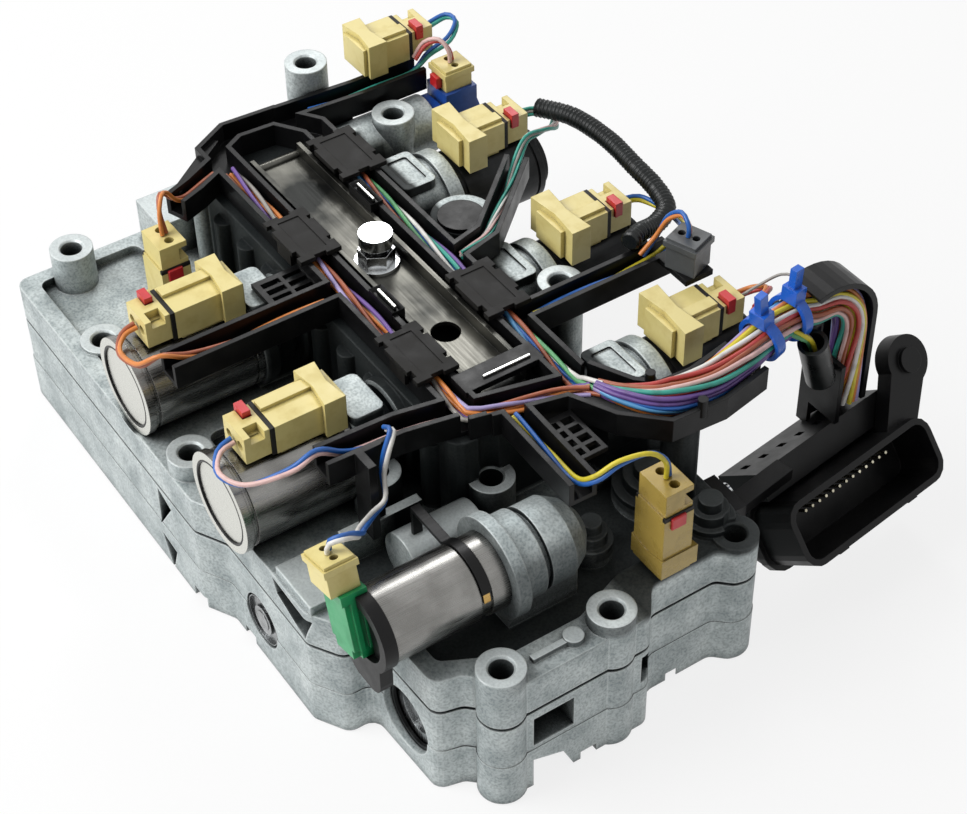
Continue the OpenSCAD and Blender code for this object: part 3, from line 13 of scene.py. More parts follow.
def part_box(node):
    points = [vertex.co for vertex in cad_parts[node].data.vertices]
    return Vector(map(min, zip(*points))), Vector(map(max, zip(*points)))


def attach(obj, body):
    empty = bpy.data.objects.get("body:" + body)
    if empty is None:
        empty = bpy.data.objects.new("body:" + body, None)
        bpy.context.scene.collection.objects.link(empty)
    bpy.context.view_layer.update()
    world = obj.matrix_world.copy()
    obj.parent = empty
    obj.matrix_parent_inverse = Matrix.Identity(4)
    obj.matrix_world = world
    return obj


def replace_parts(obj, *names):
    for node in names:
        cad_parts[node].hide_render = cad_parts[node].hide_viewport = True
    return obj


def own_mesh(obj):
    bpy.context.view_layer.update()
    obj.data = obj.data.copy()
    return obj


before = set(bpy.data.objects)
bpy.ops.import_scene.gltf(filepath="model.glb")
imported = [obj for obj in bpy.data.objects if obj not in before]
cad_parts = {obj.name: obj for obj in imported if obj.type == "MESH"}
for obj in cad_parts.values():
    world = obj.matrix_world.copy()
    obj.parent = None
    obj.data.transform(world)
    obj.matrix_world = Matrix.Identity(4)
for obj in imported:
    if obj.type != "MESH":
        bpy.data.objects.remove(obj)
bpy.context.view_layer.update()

LOG = logging.getLogger("valve_body")
MM = 0.001
BLOCK = "valve_block"
SPINE_TOP = 76.0
WHITE = (1.0, 1.0, 1.0, 1.0)
ALONG_BORES = (0, 1, 0)

Point = tuple[float, float, float]
Range = tuple[float, float]
Tree = bpy.types.NodeTree
Node = bpy.types.Node
Socket = bpy.types.NodeSocket
Shape = bmesh.types.BMesh


def linear(code: str) -> tuple[float, float, float, float]:
    """Turns an sRGB hex colour into linear light.

    Args:
        code: colour as "#rrggbb".

    Returns:
        Linear red, green and blue with full alpha.
    """
    parts = [int(code[i:i + 2], 16) / 255 for i in (1, 3, 5)]
    flat = [c / 12.92 if c <= 0.04045 else ((c + 0.055) / 1.055) ** 2.4 for c in parts]
    return (flat[0], flat[1], flat[2], 1.0)


def add(tree: Tree, kind: str, inputs: dict | None = None, **settings) -> Node:
    """Adds a node with its settings, constant inputs and links.

    Args:
        tree: node tree that takes the node.
        kind: Blender's type name of the node.
        inputs: input name or number to a constant or to another node's output socket.
        **settings: attributes of the node.

    Returns:
        The new node.
    """
    node = tree.nodes.new(kind)
    for name, value in settings.items():
        setattr(node, name, value)
    for name, value in (inputs or {}).items():
        if isinstance(value, Socket):
            tree.links.new(value, node.inputs[name])
        else:
            node.inputs[name].default_value = value
    return node


def combined(tree: Tree, operation: str, *values: Socket | float) -> Socket:
    """Runs one operation over several sockets or constants."""
    out = values[0]
    for value in values[1:]:
        out = add(tree, "ShaderNodeMath", {0: out, 1: value}, operation=operation).outputs[0]
    return out


def seen_white(tree: Tree) -> Socket:
    """Gives 1 where the background itself is seen, mirrored or seen through."""
    ray = add(tree, "ShaderNodeLightPath").outputs
    return combined(tree, "MAXIMUM", ray["Is Camera Ray"], ray["Is Glossy Ray"],
                    ray["Is Transmission Ray"])


def per_mm(size: float) -> float:
    """Gives the texture scale whose pattern is about size millimetres."""
    return 1.0 / (size * MM)


class Brush(Enum):
    """Direction in which a metal surface was worked."""

    ALONG_X = (0.03, 1.0, 1.0)
    ALONG_Y = (1.0, 0.03, 1.0)
    ROUND_Y = (1.0, 1.0, 0.04)


class Facing(Enum):
    """Which faces a zone covers: limits of the upward part of their normal."""

    UP = (0.5, 0.8)
    UPRIGHT = (0.8, 0.5)
    ANY = None


@dataclass(frozen=True)
class Fade:
    """A soft limit of a zone: where it begins and is full in millimetres, and the least beyond."""

    axis: str
    begins: float
    full: float
    least: float = 0.0


@dataclass(frozen=True)
class Zone:
    """A part of a casting that looks different from its skin.

    Attributes:
        share: how much of the other look it takes.
        facing: which faces it covers.
        fades: its limits.
        spared: a zone inside it that takes less.
    """

    share: float
    facing: Facing
    fades: tuple[Fade, ...]
    spared: "Zone | None" = None


# Zones darkened for oil stains and painted shade: the interior floor, the walls and ledges under the
# tray, and the domes. The walls beside the lock-up take less.
BESIDE_LOCKUP = Zone(0.38, Facing.ANY, (Fade("X", 58, 62), Fade("Y", 24, 18)))
OIL_AND_SHADE_ZONES = {
    "floor": Zone(0.92, Facing.UP, (Fade("X", -78, -66), Fade("Z", 45.4, 44.6), Fade("Z", 34, 36))),
    "walls": Zone(0.985, Facing.UPRIGHT,
                  (Fade("Z", 72, 60, 0.96), Fade("X", -92, -86), Fade("Y", -30, -21),
                   Fade("Y", 62, 56), Fade("Z", 45, 47.5), Fade("Z", 79, 76)), BESIDE_LOCKUP),
    "ledges": Zone(0.95, Facing.UP,
                   (Fade("X", 60, 57), Fade("Y", -13, -11), Fade("Y", 52, 50),
                    Fade("Z", 64, 66), Fade("Z", 76.4, 76.0))),
    "right_domes": Zone(0.88, Facing.ANY,
                        (Fade("X", 60, 66), Fade("Y", 14, 20), Fade("Z", 43.6, 45.5),
                         Fade("Z", 68, 64))),
}
MILLED_ZONES = {
    "low_bosses": Zone(0.5, Facing.UP, (Fade("Z", 46.3, 46.7), Fade("Z", 61.2, 60.6))),
    "tall_bosses": Zone(0.5, Facing.UP, (Fade("Z", 76.5, 76.9), Fade("Y", -12, -10))),
}


@dataclass(frozen=True)
class Finish:
    """A surface: what it is made of and how it was made.

    Attributes:
        name: material name in a maker's words.
        colour: main sRGB colour.
        rough: roughness of the plain surface.
        edge: rounding of its sharp edges in millimetres.
    """

    name: str
    colour: str
    rough: float = 0.45
    edge: float = 0.3

    def material(self) -> bpy.types.Material:
        """Makes the material once and returns it."""
        found = bpy.data.materials.get(self.name)
        if found:
            return found
        made = bpy.data.materials.new(self.name)
        made.use_nodes = True
        made.node_tree.nodes.clear()
        made.diffuse_color = linear(self.colour)
        shader = self.surface(made.node_tree)
        add(made.node_tree, "ShaderNodeOutputMaterial", {"Surface": shader.outputs[0]})
        return made

    def surface(self, tree: Tree) -> Node:
        """Builds the shader.

        Args:
            tree: empty node tree of the material.

        Returns:
            The shader node.
        """
        raise NotImplementedError

    def place(self, tree: Tree) -> Socket:
        """Gives the piece's own coordinates in metres."""
        return add(tree, "ShaderNodeTexCoord").outputs["Object"]

    def noise(self, tree: Tree, at: Socket, size: float, detail: float,
              roughness: float = 0.5) -> Socket:
        """Gives a cloudy value whose clouds are about size millimetres."""
        inputs = {"Vector": at, "Scale": per_mm(size), "Detail": detail, "Roughness": roughness}
        return add(tree, "ShaderNodeTexNoise", inputs).outputs["Fac"]

    def step(self, tree: Tree, value: Socket, low: float, high: float, top: float = 1.0,
             base: float = 0.0) -> Socket:
        """Gives base at low and top at high, with a straight change between them."""
        inputs = {"Value": value, "From Min": low, "From Max": high, "To Min": base, "To Max": top}
        return add(tree, "ShaderNodeMapRange", inputs).outputs[0]

    def ramp(self, tree: Tree, value: Socket, stops: list[tuple[float, str]]) -> Socket:
        """Turns a value into a colour by places and sRGB colours."""
        node = add(tree, "ShaderNodeValToRGB", {"Fac": value})
        bar = node.color_ramp.elements
        while len(bar) < len(stops):
            bar.new(1.0)
        for stop, (at, code) in zip(bar, stops):
            stop.position = at
            stop.color = linear(code)
        return node.outputs["Color"]

    def mixed(self, tree: Tree, share: Socket | float, first: Socket | str, second: Socket | str,
              blend: str = "MIX") -> Socket:
        """Lays a second colour, a socket or sRGB code, over a first one by a share."""
        a, b = (linear(c) if isinstance(c, str) else c for c in (first, second))
        inputs = {"Factor": share, "A": a, "B": b}
        node = add(tree, "ShaderNodeMix", inputs, data_type="RGBA", blend_type=blend)
        return node.outputs["Result"]

    def openness(self, tree: Tree, reach: float, samples: int, alone: bool = False) -> Socket:
        """Gives how open a place is within reach millimetres, to all or to the piece alone."""
        node = add(tree, "ShaderNodeAmbientOcclusion", {"Distance": reach * MM}, samples=samples,
                   only_local=alone)
        return node.outputs["AO"]

    def rounded(self, tree: Tree) -> Socket:
        """Gives normals whose sharp edges look rounded."""
        return add(tree, "ShaderNodeBevel", {"Radius": self.edge * MM}, samples=4).outputs[0]

    def bumped(self, tree: Tree, height: Socket, strength: float, depth: float,
               normal: Socket | None = None) -> Socket:
        """Gives normals of a finely uneven surface, depth in millimetres."""
        inputs = {"Strength": strength, "Distance": depth * MM, "Height": height}
        if normal:
            inputs["Normal"] = normal
        return add(tree, "ShaderNodeBump", inputs).outputs[0]

    def shader(self, tree: Tree, tone: Socket, rough: Socket, normal: Socket, more: dict) -> Node:
        """Adds the surface shader with further constant inputs."""
        inputs = {"Base Color": tone, "Roughness": rough, "Normal": normal, **more}
        return add(tree, "ShaderNodeBsdfPrincipled", inputs)


@dataclass(frozen=True)
class CastAluminium(Finish):
    """Die-cast aluminium: finely grained grey, bright on worn edges and milled tops, oil and painted
    shade inside.

    Attributes:
        crevice_shade_reach: how far from nearby walls the painted crevice shade reaches, in
            millimetres.
        pocket_reach: how near walls make a pocket darkened by oil and painted shade, in millimetres.
    """

    dark: str = "#9ba4a5"
    light: str = "#cfd6d5"
    pit: str = "#9aa0a2"
    milled: str = "#d2d8d8"
    worn: str = "#e2e8e7"
    # colour of the painted shade in crevices and corners
    crevice_shade: str = "#14181a"
    # colour of the oil stains and of the painted shade inside the casting
    oil_and_shade: str = "#101415"
    grain: float = 0.8
    speckle: float = 0.5
    cloud: float = 13.0
    crevice_shade_reach: float = 6.0
    pocket_reach: float = 20.0
    metallic: float = 0.35
    gloss: float = 0.12

    def covered(self, tree: Tree, zone: Zone, at: dict, normal: dict) -> Socket:
        """Gives the share that a zone takes at each place.

        Args:
            tree: node tree of the material.
            zone: the zone.
            at: sockets of the place by axis.
            normal: sockets of the normal by axis.

        Returns:
            The share's socket.
        """
        values = [self.step(tree, at[fade.axis], fade.begins * MM, fade.full * MM, base=fade.least)
                  for fade in zone.fades]
        if zone.facing.value:
            values.append(self.step(tree, normal["Z"], *zone.facing.value))
        if zone.spared:
            values.append(self.step(tree, self.covered(tree, zone.spared, at, normal), 1.0, 0.0))
        return combined(tree, "MULTIPLY", *values, zone.share)

    def oil_shade_and_milled(self, tree: Tree) -> tuple[Socket, Socket]:
        """Gives the share of oil stains and painted shade, and the share that was milled."""
        coord = add(tree, "ShaderNodeTexCoord").outputs
        at = add(tree, "ShaderNodeSeparateXYZ", {0: coord["Object"]}).outputs
        normal = add(tree, "ShaderNodeSeparateXYZ", {0: coord["Normal"]}).outputs
        deep = self.openness(tree, self.pocket_reach, 6, alone=True)
        oil_and_shade_share = [self.covered(tree, zone, at, normal) for zone in OIL_AND_SHADE_ZONES.values()]
        # deep pockets take painted shade as well
        oil_and_shade_share.append(self.step(tree, deep, 0.52, 0.30, 0.92))
        milled = [self.covered(tree, zone, at, normal) for zone in MILLED_ZONES.values()]
        return combined(tree, "MAXIMUM", *oil_and_shade_share), combined(tree, "MAXIMUM", *milled)

    def surface(self, tree: Tree) -> Node:
        """Builds the cast shader; see the base class."""
        at = self.place(tree)
        cloud = self.noise(tree, at, self.cloud, 5, 0.6)
        grain = self.noise(tree, at, self.grain, 3)
        skin = self.ramp(tree, cloud, [(0.30, self.dark), (0.50, self.colour), (0.70, self.light)])
        speck = self.ramp(tree, grain, [(0.34, self.pit), (0.58, "#ffffff")])
        soft = self.rounded(tree)
        true = add(tree, "ShaderNodeNewGeometry").outputs["Normal"]
        bend = add(tree, "ShaderNodeVectorMath", {0: soft, 1: true}, operation="DOT_PRODUCT")
        rubbed = self.step(tree, bend.outputs["Value"], 0.998, 0.94, 0.7)
        # painted shade where nearby walls close the casting in
        closed = self.step(tree, self.openness(tree, self.crevice_shade_reach, 6), 0.72, 0.24)
        oil_and_shade_share, milled = self.oil_shade_and_milled(tree)
        tone = self.mixed(tree, self.speckle, skin, speck, "MULTIPLY")
        tone = self.mixed(tree, milled, tone, self.milled)
        tone = self.mixed(tree, rubbed, tone, self.worn)
        tone = self.mixed(tree, oil_and_shade_share, tone, self.oil_and_shade)
        tone = self.mixed(tree, closed, tone, self.crevice_shade)
        rough = self.step(tree, cloud, 0.3, 0.7, self.rough - 0.06, self.rough + 0.06)
        normal = self.bumped(tree, grain, 0.28, 0.12, soft)
        more = {"Metallic": self.metallic, "Specular IOR Level": self.gloss}
        return self.shader(tree, tone, rough, normal, more)


@dataclass(frozen=True)
class WorkedSteel(Finish):
    """Drawn, rolled or turned steel: fine lines one way, soft stains, painted shade in its grooves.
    """

    brush: Brush = Brush.ALONG_Y
    stain: str = "#6d6f70"
    groove: str = "#b4b4b4"
    # colour of the painted shade in grooves and corners
    groove_shade: str = "#161718"
    line: float = 0.35
    lines: float = 0.5
    patch: float = 9.0
    groove_shade_reach: float = 4.0
    metallic: float = 1.0
    # paler colour for faces towards -Y, a painted highlight where the key lamp falls
    end: str = ""

    def surface(self, tree: Tree) -> Node:
        """Builds the brushed shader; see the base class."""
        at = self.place(tree)
        drawn = add(tree, "ShaderNodeMapping", {"Vector": at, "Scale": self.brush.value}).outputs[0]
        lines = self.noise(tree, drawn, self.line, 4)
        cloud = self.noise(tree, at, self.patch, 4)
        skin = self.ramp(tree, cloud, [(0.36, self.stain), (0.60, self.colour)])
        fine = self.ramp(tree, lines, [(0.30, self.groove), (0.60, "#ffffff")])
        tone = self.mixed(tree, self.lines, skin, fine, "MULTIPLY")
        # faces towards -Y take the painted highlight
        if self.end:
            coord = add(tree, "ShaderNodeTexCoord").outputs["Normal"]
            facing = add(tree, "ShaderNodeSeparateXYZ", {0: coord}).outputs["Y"]
            tone = self.mixed(tree, self.step(tree, facing, -0.7, -0.9), tone, self.end)
        # painted shade where the surface is closed in by nearby walls
        unshaded = self.step(tree, self.openness(tree, self.groove_shade_reach, 4), 0.25, 0.80)
        tone = self.mixed(tree, unshaded, self.groove_shade, tone)
        rough = self.step(tree, lines, 0.3, 0.7, self.rough + 0.10, self.rough - 0.06)
        normal = self.bumped(tree, lines, 0.12, 0.05, self.rounded(tree))
        return self.shader(tree, tone, rough, normal, {"Metallic": self.metallic})


@dataclass(frozen=True)
class MouldedPlastic(Finish):
    """Moulded nylon or PBT: an even colour with a fine spark texture, slightly stained, painted shade
    in crevices.
    """

    stain: str = "#000000"
    stain_share: float = 0.25
    stain_size: float = 7.0
    # colour of the painted shade in crevices
    crevice_shade: str = "#0c0c0d"
    crevice_shade_reach: float = 3.0
    texture: float = 0.6
    gloss: float = 0.5
    ior: float = 1.52

    def surface(self, tree: Tree) -> Node:
        """Builds the plastic shader; see the base class."""
        at = self.place(tree)
        cloud = self.noise(tree, at, self.stain_size, 4, 0.6)
        spark = self.noise(tree, at, self.texture, 2)
        mottle = self.step(tree, cloud, 0.48, 0.74, self.stain_share)
        # painted shade where the surface is closed in by nearby walls
        unshaded = self.step(tree, self.openness(tree, self.crevice_shade_reach, 4), 0.15, 0.75)
        tone = self.mixed(tree, mottle, self.colour, self.stain)
        tone = self.mixed(tree, unshaded, self.crevice_shade, tone)
        rough = self.step(tree, cloud, 0.3, 0.7, self.rough + 0.08, self.rough - 0.07)
        normal = self.bumped(tree, spark, 0.18, 0.08, self.rounded(tree))
        more = {"IOR": self.ior, "Specular IOR Level": self.gloss}
        return self.shader(tree, tone, rough, normal, more)


@dataclass(frozen=True)
class WireSheath(Finish):
    """Thin-wall PVC insulation: smooth and a little glossy, with faint handling marks."""

    mark: str = "#2a2523"
    mark_share: float = 0.35
    mark_size: float = 5.0
    ior: float = 1.53

    def surface(self, tree: Tree) -> Node:
        """Builds the insulation shader; see the base class."""
        cloud = self.noise(tree, self.place(tree), self.mark_size, 3)
        marked = self.step(tree, cloud, 0.5, 0.75, self.mark_share)
        tone = self.mixed(tree, marked, self.colour, self.mark)
        rough = self.step(tree, cloud, 0.0, 1.0, self.rough + 0.12, self.rough - 0.05)
        normal = self.bumped(tree, cloud, 0.1, 0.05)
        return self.shader(tree, tone, rough, normal, {"IOR": self.ior})


@dataclass(frozen=True)
class StudioFloor(Finish):
    """Matt white paper: white where it is seen or mirrored, and still shaded under the object."""

    glow: float = 0.82

    def surface(self, tree: Tree) -> Node:
        """Builds the floor shader; see the base class."""
        share = combined(tree, "MULTIPLY", seen_white(tree), self.glow)
        paper = add(tree, "ShaderNodeBsdfDiffuse", {"Color": linear(self.colour)})
        glow = add(tree, "ShaderNodeEmission", {"Color": WHITE, "Strength": 1.0})
        return add(tree, "ShaderNodeMixShader", {0: share, 1: paper.outputs[0], 2: glow.outputs[0]})


class Finishes:
    """Every finish of the object, named for its real material."""

    casting = CastAluminium("die_cast_aluminium", "#bbc3c3", rough=0.46, edge=0.8)
    plate = WorkedSteel("separator_plate_steel", "#4b4e50", rough=0.5, stain="#2b2d2e")
    # the can's pale end faces are a painted highlight
    can = WorkedSteel(
        "drawn_steel_can", "#8f8e8b", rough=0.26, edge=0.4, stain="#7d7c79",
        lines=0.22, end="#d6d6ce")
    turned = WorkedSteel(
        "ground_valve_steel", "#b4b7b8", rough=0.24, brush=Brush.ROUND_Y, lines=0.3)
    spring = WorkedSteel("spring_wire_steel", "#8c8e90", rough=0.32)
    sheet = WorkedSteel(
        "pressed_channel_steel", "#6a6963", rough=0.36, brush=Brush.ALONG_X,
        stain="#262726", line=0.6, lines=0.25, patch=26.0)
    zinc = WorkedSteel("zinc_plated_bolt", "#eceeee", rough=0.16, stain="#d3d6d8", lines=0.15)
    black_can = WorkedSteel("black_oxide_can", "#2c2d2e", rough=0.4, stain="#1b1c1c", metallic=0.7)
    strap = WorkedSteel("black_spring_strap", "#161617", rough=0.34, stain="#0f0f0f", metallic=0.6)
    strip = WorkedSteel("bright_spring_strip", "#e4e4e0", rough=0.22, stain="#c6c6c2", lines=0.2)
    pin = WorkedSteel("tinned_pin", "#d8d2bd", rough=0.25, stain="#a59f8c")
    brass = WorkedSteel("brass_tab", "#d2b070", rough=0.28, stain="#a8854a", lines=0.2)
    tray = MouldedPlastic(
        "black_glass_filled_nylon", "#0b0b0c", rough=0.36, stain="#1d1d1d",
        stain_share=0.3, gloss=0.2)
    cover = MouldedPlastic(
        "dark_grey_nylon_cover", "#191817", rough=0.5, stain="#2b2a27", stain_share=0.5, gloss=0.15)
    connector = MouldedPlastic(
        "black_pbt_connector", "#0c0c0d", rough=0.38, stain="#222120", stain_share=0.3, gloss=0.2)
    rubber = MouldedPlastic(
        "black_nitrile_seal", "#141210", rough=0.6, stain="#241f1a", stain_share=0.4, gloss=0.3)
    cream = MouldedPlastic(
        "aged_cream_pbt", "#e2d28a", rough=0.38, stain="#c2ab5c", stain_share=0.45, crevice_shade="#5a4a20")
    amber = MouldedPlastic(
        "aged_amber_nylon", "#b99e50", rough=0.26, stain="#8d7630",
        stain_share=0.55, crevice_shade="#4a3a14")
    green = MouldedPlastic(
        "green_pbt", "#169a5c", rough=0.35, stain="#0c6f41", stain_share=0.5, crevice_shade="#032a18")
    blue = MouldedPlastic(
        "blue_pbt", "#2450a4", rough=0.36, stain="#163264", stain_share=0.5, crevice_shade="#0a1734")
    red = MouldedPlastic(
        "red_pbt", "#cf2a30", rough=0.34, stain="#96181c", stain_share=0.4, crevice_shade="#3a0708")
    grey = MouldedPlastic(
        "grey_pbt", "#55585a", rough=0.42, stain="#3c3e40", stain_share=0.4, crevice_shade="#1c1d1e")
    tie = MouldedPlastic(
        "blue_nylon_tie", "#1f66d2", rough=0.3, stain="#124498", stain_share=0.4, crevice_shade="#0a2350")
    conduit = MouldedPlastic(
        "black_conduit_nylon", "#131616", rough=0.3, stain="#2a3030", stain_share=0.4, gloss=0.3)
    floor = StudioFloor("white_paper_floor", "#f4f4f4")


class Wire(Enum):
    """Colours of the wires' insulation."""

    ORANGE = "#d98440"
    BROWN = "#a4583a"
    RED = "#b8403a"
    PURPLE = "#6d4f96"
    LILAC = "#a99ccb"
    PINK = "#e3bdb8"
    WHITE = "#e9e7e2"
    BLUE = "#2463b4"
    SKY = "#5c9fd2"
    TEAL = "#37a08f"
    GREEN = "#5aa06a"
    YELLOW = "#dccb34"
    GREY = "#98948e"

    def finish(self) -> WireSheath:
        """Gives the insulation's finish."""
        return WireSheath(f"{self.name.lower()}_wire_pvc", self.value, rough=0.36)


def new_piece(name: str, mesh: bpy.types.Mesh, slot: str, *finishes: Finish) -> bpy.types.Object:
    """Makes a piece of the block from a finished mesh.

    Args:
        name: piece name.
        mesh: mesh with its place in it, in metres.
        slot: material slot of the record; not used.
        *finishes: finishes in slot order; none if the mesh has its own.

    Returns:
        The new object, riding on the block.
    """
    piece = bpy.data.objects.new(name, mesh)
    bpy.context.scene.collection.objects.link(piece)
    for finish in finishes:
        mesh.materials.append(finish.material())
    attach(piece, BLOCK)
    LOG.info("piece %s: %d faces", name, len(mesh.polygons))
    return piece


def finish_mesh(name: str, shape: Shape, smooth: bool = False) -> bpy.types.Mesh:
    """Turns a shape in millimetres into a mesh in metres.

    Args:
        name: mesh name.
        shape: the shape, which is freed.
        smooth: whether its faces are shaded as one round surface.

    Returns:
        The mesh, with its faces outwards.
    """
    bmesh.ops.scale(shape, verts=shape.verts, vec=(MM, MM, MM))
    bmesh.ops.recalc_face_normals(shape, faces=shape.faces)
    mesh = bpy.data.meshes.new(name)
    shape.to_mesh(mesh)
    shape.free()
    for side in mesh.polygons:
        side.use_smooth = smooth
    return mesh


def edges_of(corners: list[bmesh.types.BMVert]) -> list[bmesh.types.BMEdge]:
    """Gives the edges at some points of a shape."""
    return list(dict.fromkeys(edge for corner in corners for edge in corner.link_edges))


@dataclass
class Route:
    """A smooth way through given points, the same as the cord's in the solid model.

    Attributes:
        points: millimetres, with z counted from the spine's top.
        step: spacing of the samples in millimetres.
    """

    points: list[Point]
    step: float = 1.6

    def at(self, t: float) -> Vector:
        """Gives the point at parameter t, in millimetres."""
        p = [Vector(q) for q in self.points]
        n = len(p) - 1
        i = min(int(t), n - 1)
        s = t - i
        a, b, c, d = p[max(i - 1, 0)], p[i], p[i + 1], p[min(i + 2, n)]
        bend = (2 * a - 5 * b + 4 * c - d) * s * s + (3 * b - a - 3 * c + d) * s ** 3
        return 0.5 * (2 * b + (c - a) * s + bend)

    def samples(self) -> list[tuple[Vector, Vector, Vector, float]]:
        """Gives place, two cross directions and the way so far, along the route."""
        line = []
        for i in range(len(self.points) - 1):
            gap = (Vector(self.points[i + 1]) - Vector(self.points[i])).length
            count = max(2, round(gap / self.step))
            line += [self.at(i + k / count) for k in range(count)]
        line.append(Vector(self.points[-1]))
        out = []
        side = None
        way = 0.0
        for k, p in enumerate(line):
            ahead = (line[min(k + 1, len(line) - 1)] - line[max(k - 1, 0)]).normalized()
            if side is None:
                side = ahead.cross(Vector((0.31, 0.17, 0.93))).normalized()
            side = (side - ahead * side.dot(ahead)).normalized()
            way += (p - line[k - 1]).length if k else 0.0
            out.append((p, side, ahead.cross(side), way))
        return out


@dataclass
class Tubes:
    """Round tubes along lines, made as one mesh."""

    name: str
    resolution: int
    curve: bpy.types.Curve = field(init=False)

    def __post_init__(self) -> None:
        """Starts an empty set."""
        self.curve = bpy.data.curves.new(self.name, "CURVE")
        self.curve.dimensions = "3D"
        self.curve.bevel_depth = 1.0
        self.curve.bevel_resolution = self.resolution
        self.curve.use_fill_caps = True

    def add_line(self, spots: list[tuple[Vector, float]], material: int = 0) -> None:
        """Adds one tube through places from the spine's top with radii, in millimetres."""
        line = self.curve.splines.new("POLY")
        line.points.add(len(spots) - 1)
        line.use_smooth = True
        line.material_index = material
        for point, (place, radius) in zip(line.points, spots):
            at = (place + Vector((0, 0, SPINE_TOP))) * MM
            point.co = (at.x, at.y, at.z, 1.0)
            point.radius = radius * MM

    def mesh(self) -> bpy.types.Mesh:
        """Turns the tubes into a mesh and removes their lines."""
        holder = bpy.data.objects.new(self.name, self.curve)
        bpy.context.scene.collection.objects.link(holder)
        bpy.context.view_layer.update()
        shown = holder.evaluated_get(bpy.context.evaluated_depsgraph_get())
        mesh = bpy.data.meshes.new_from_object(shown)
        mesh.name = self.name
        bpy.data.objects.remove(holder)
        bpy.data.curves.remove(self.curve)
        return mesh


@dataclass
class Strand:
    """One wire of a cord: its colour, where it lies in the cord's section and its diameter."""

    colour: Wire
    across: float
    up: float
    d: float


@dataclass
class Cords:
    """Cords of several wires, made as one piece.

    Attributes:
        name: piece name.
        lay: length in which a cord's wires turn once about each other, in millimetres.
        slack: how far a wire strays from its place, in millimetres.
        opens: length over which a gathered start opens to its full width, in millimetres.
        gathered: width of a gathered start as a share of the full width.
    """

    name: str
    lay: float
    slack: float = 0.16
    opens: float = 0.0
    gathered: float = 0.22

    def spots(self, route: Route, strand: Strand, number: int) -> list[tuple[Vector, float]]:
        """Gives the way of one wire.

        Args:
            route: way of its cord.
            strand: the wire.
            number: its number in the cord.

        Returns:
            Places and radii in millimetres.
        """
        out = []
        for p, side, rise, way in route.samples():
            turn = 2 * math.pi * way / self.lay
            width = 1.0
            if self.opens:
                width = min(1.0, self.gathered + (1 - self.gathered) * way / self.opens)
            across, up = strand.across * width, strand.up * width
            u = across * math.cos(turn) - up * math.sin(turn)
            v = across * math.sin(turn) + up * math.cos(turn)
            u += self.slack * math.sin(way / 8 + 2.4 * number)
            v += self.slack * math.cos(way / 11 + 1.7 * number)
            out.append((p + side * u + rise * v, strand.d / 2))
        return out

    def build(self, runs: list[tuple[Route, list[Strand]]], node: str) -> bpy.types.Object:
        """Builds the cords.

        Args:
            runs: routes with the wires that follow them.
            node: solid that they stand for.

        Returns:
            The piece.
        """
        tubes = Tubes(self.name, 2)
        colours: list[Wire] = []
        for route, strands in runs:
            for number, strand in enumerate(strands):
                if strand.colour not in colours:
                    colours.append(strand.colour)
                    tubes.curve.materials.append(strand.colour.finish().material())
                tubes.add_line(self.spots(route, strand, number), colours.index(strand.colour))
        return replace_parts(new_piece(self.name, tubes.mesh(), "wire_sheath"), node)


def packed(colours: list[Wire], d: float) -> list[Strand]:
    """Lays wires of one diameter side by side in rings, the first in the middle."""
    places = [(0.0, 0.0)]
    ring = 1
    while len(places) < len(colours):
        for k in range(6 * ring):
            a = 2 * math.pi * k / (6 * ring) + 0.3 * ring
            places.append((ring * d * 0.98 * math.cos(a), ring * d * 0.98 * math.sin(a)))
        ring += 1
    return [Strand(c, u, v, d) for c, (u, v) in zip(colours, places)]


def pair(first: Wire, second: Wire, d: float = 1.45) -> list[Strand]:
    """Lays two wires side by side."""
    return [Strand(first, -d / 2, 0.0, d), Strand(second, d / 2, 0.0, d)]


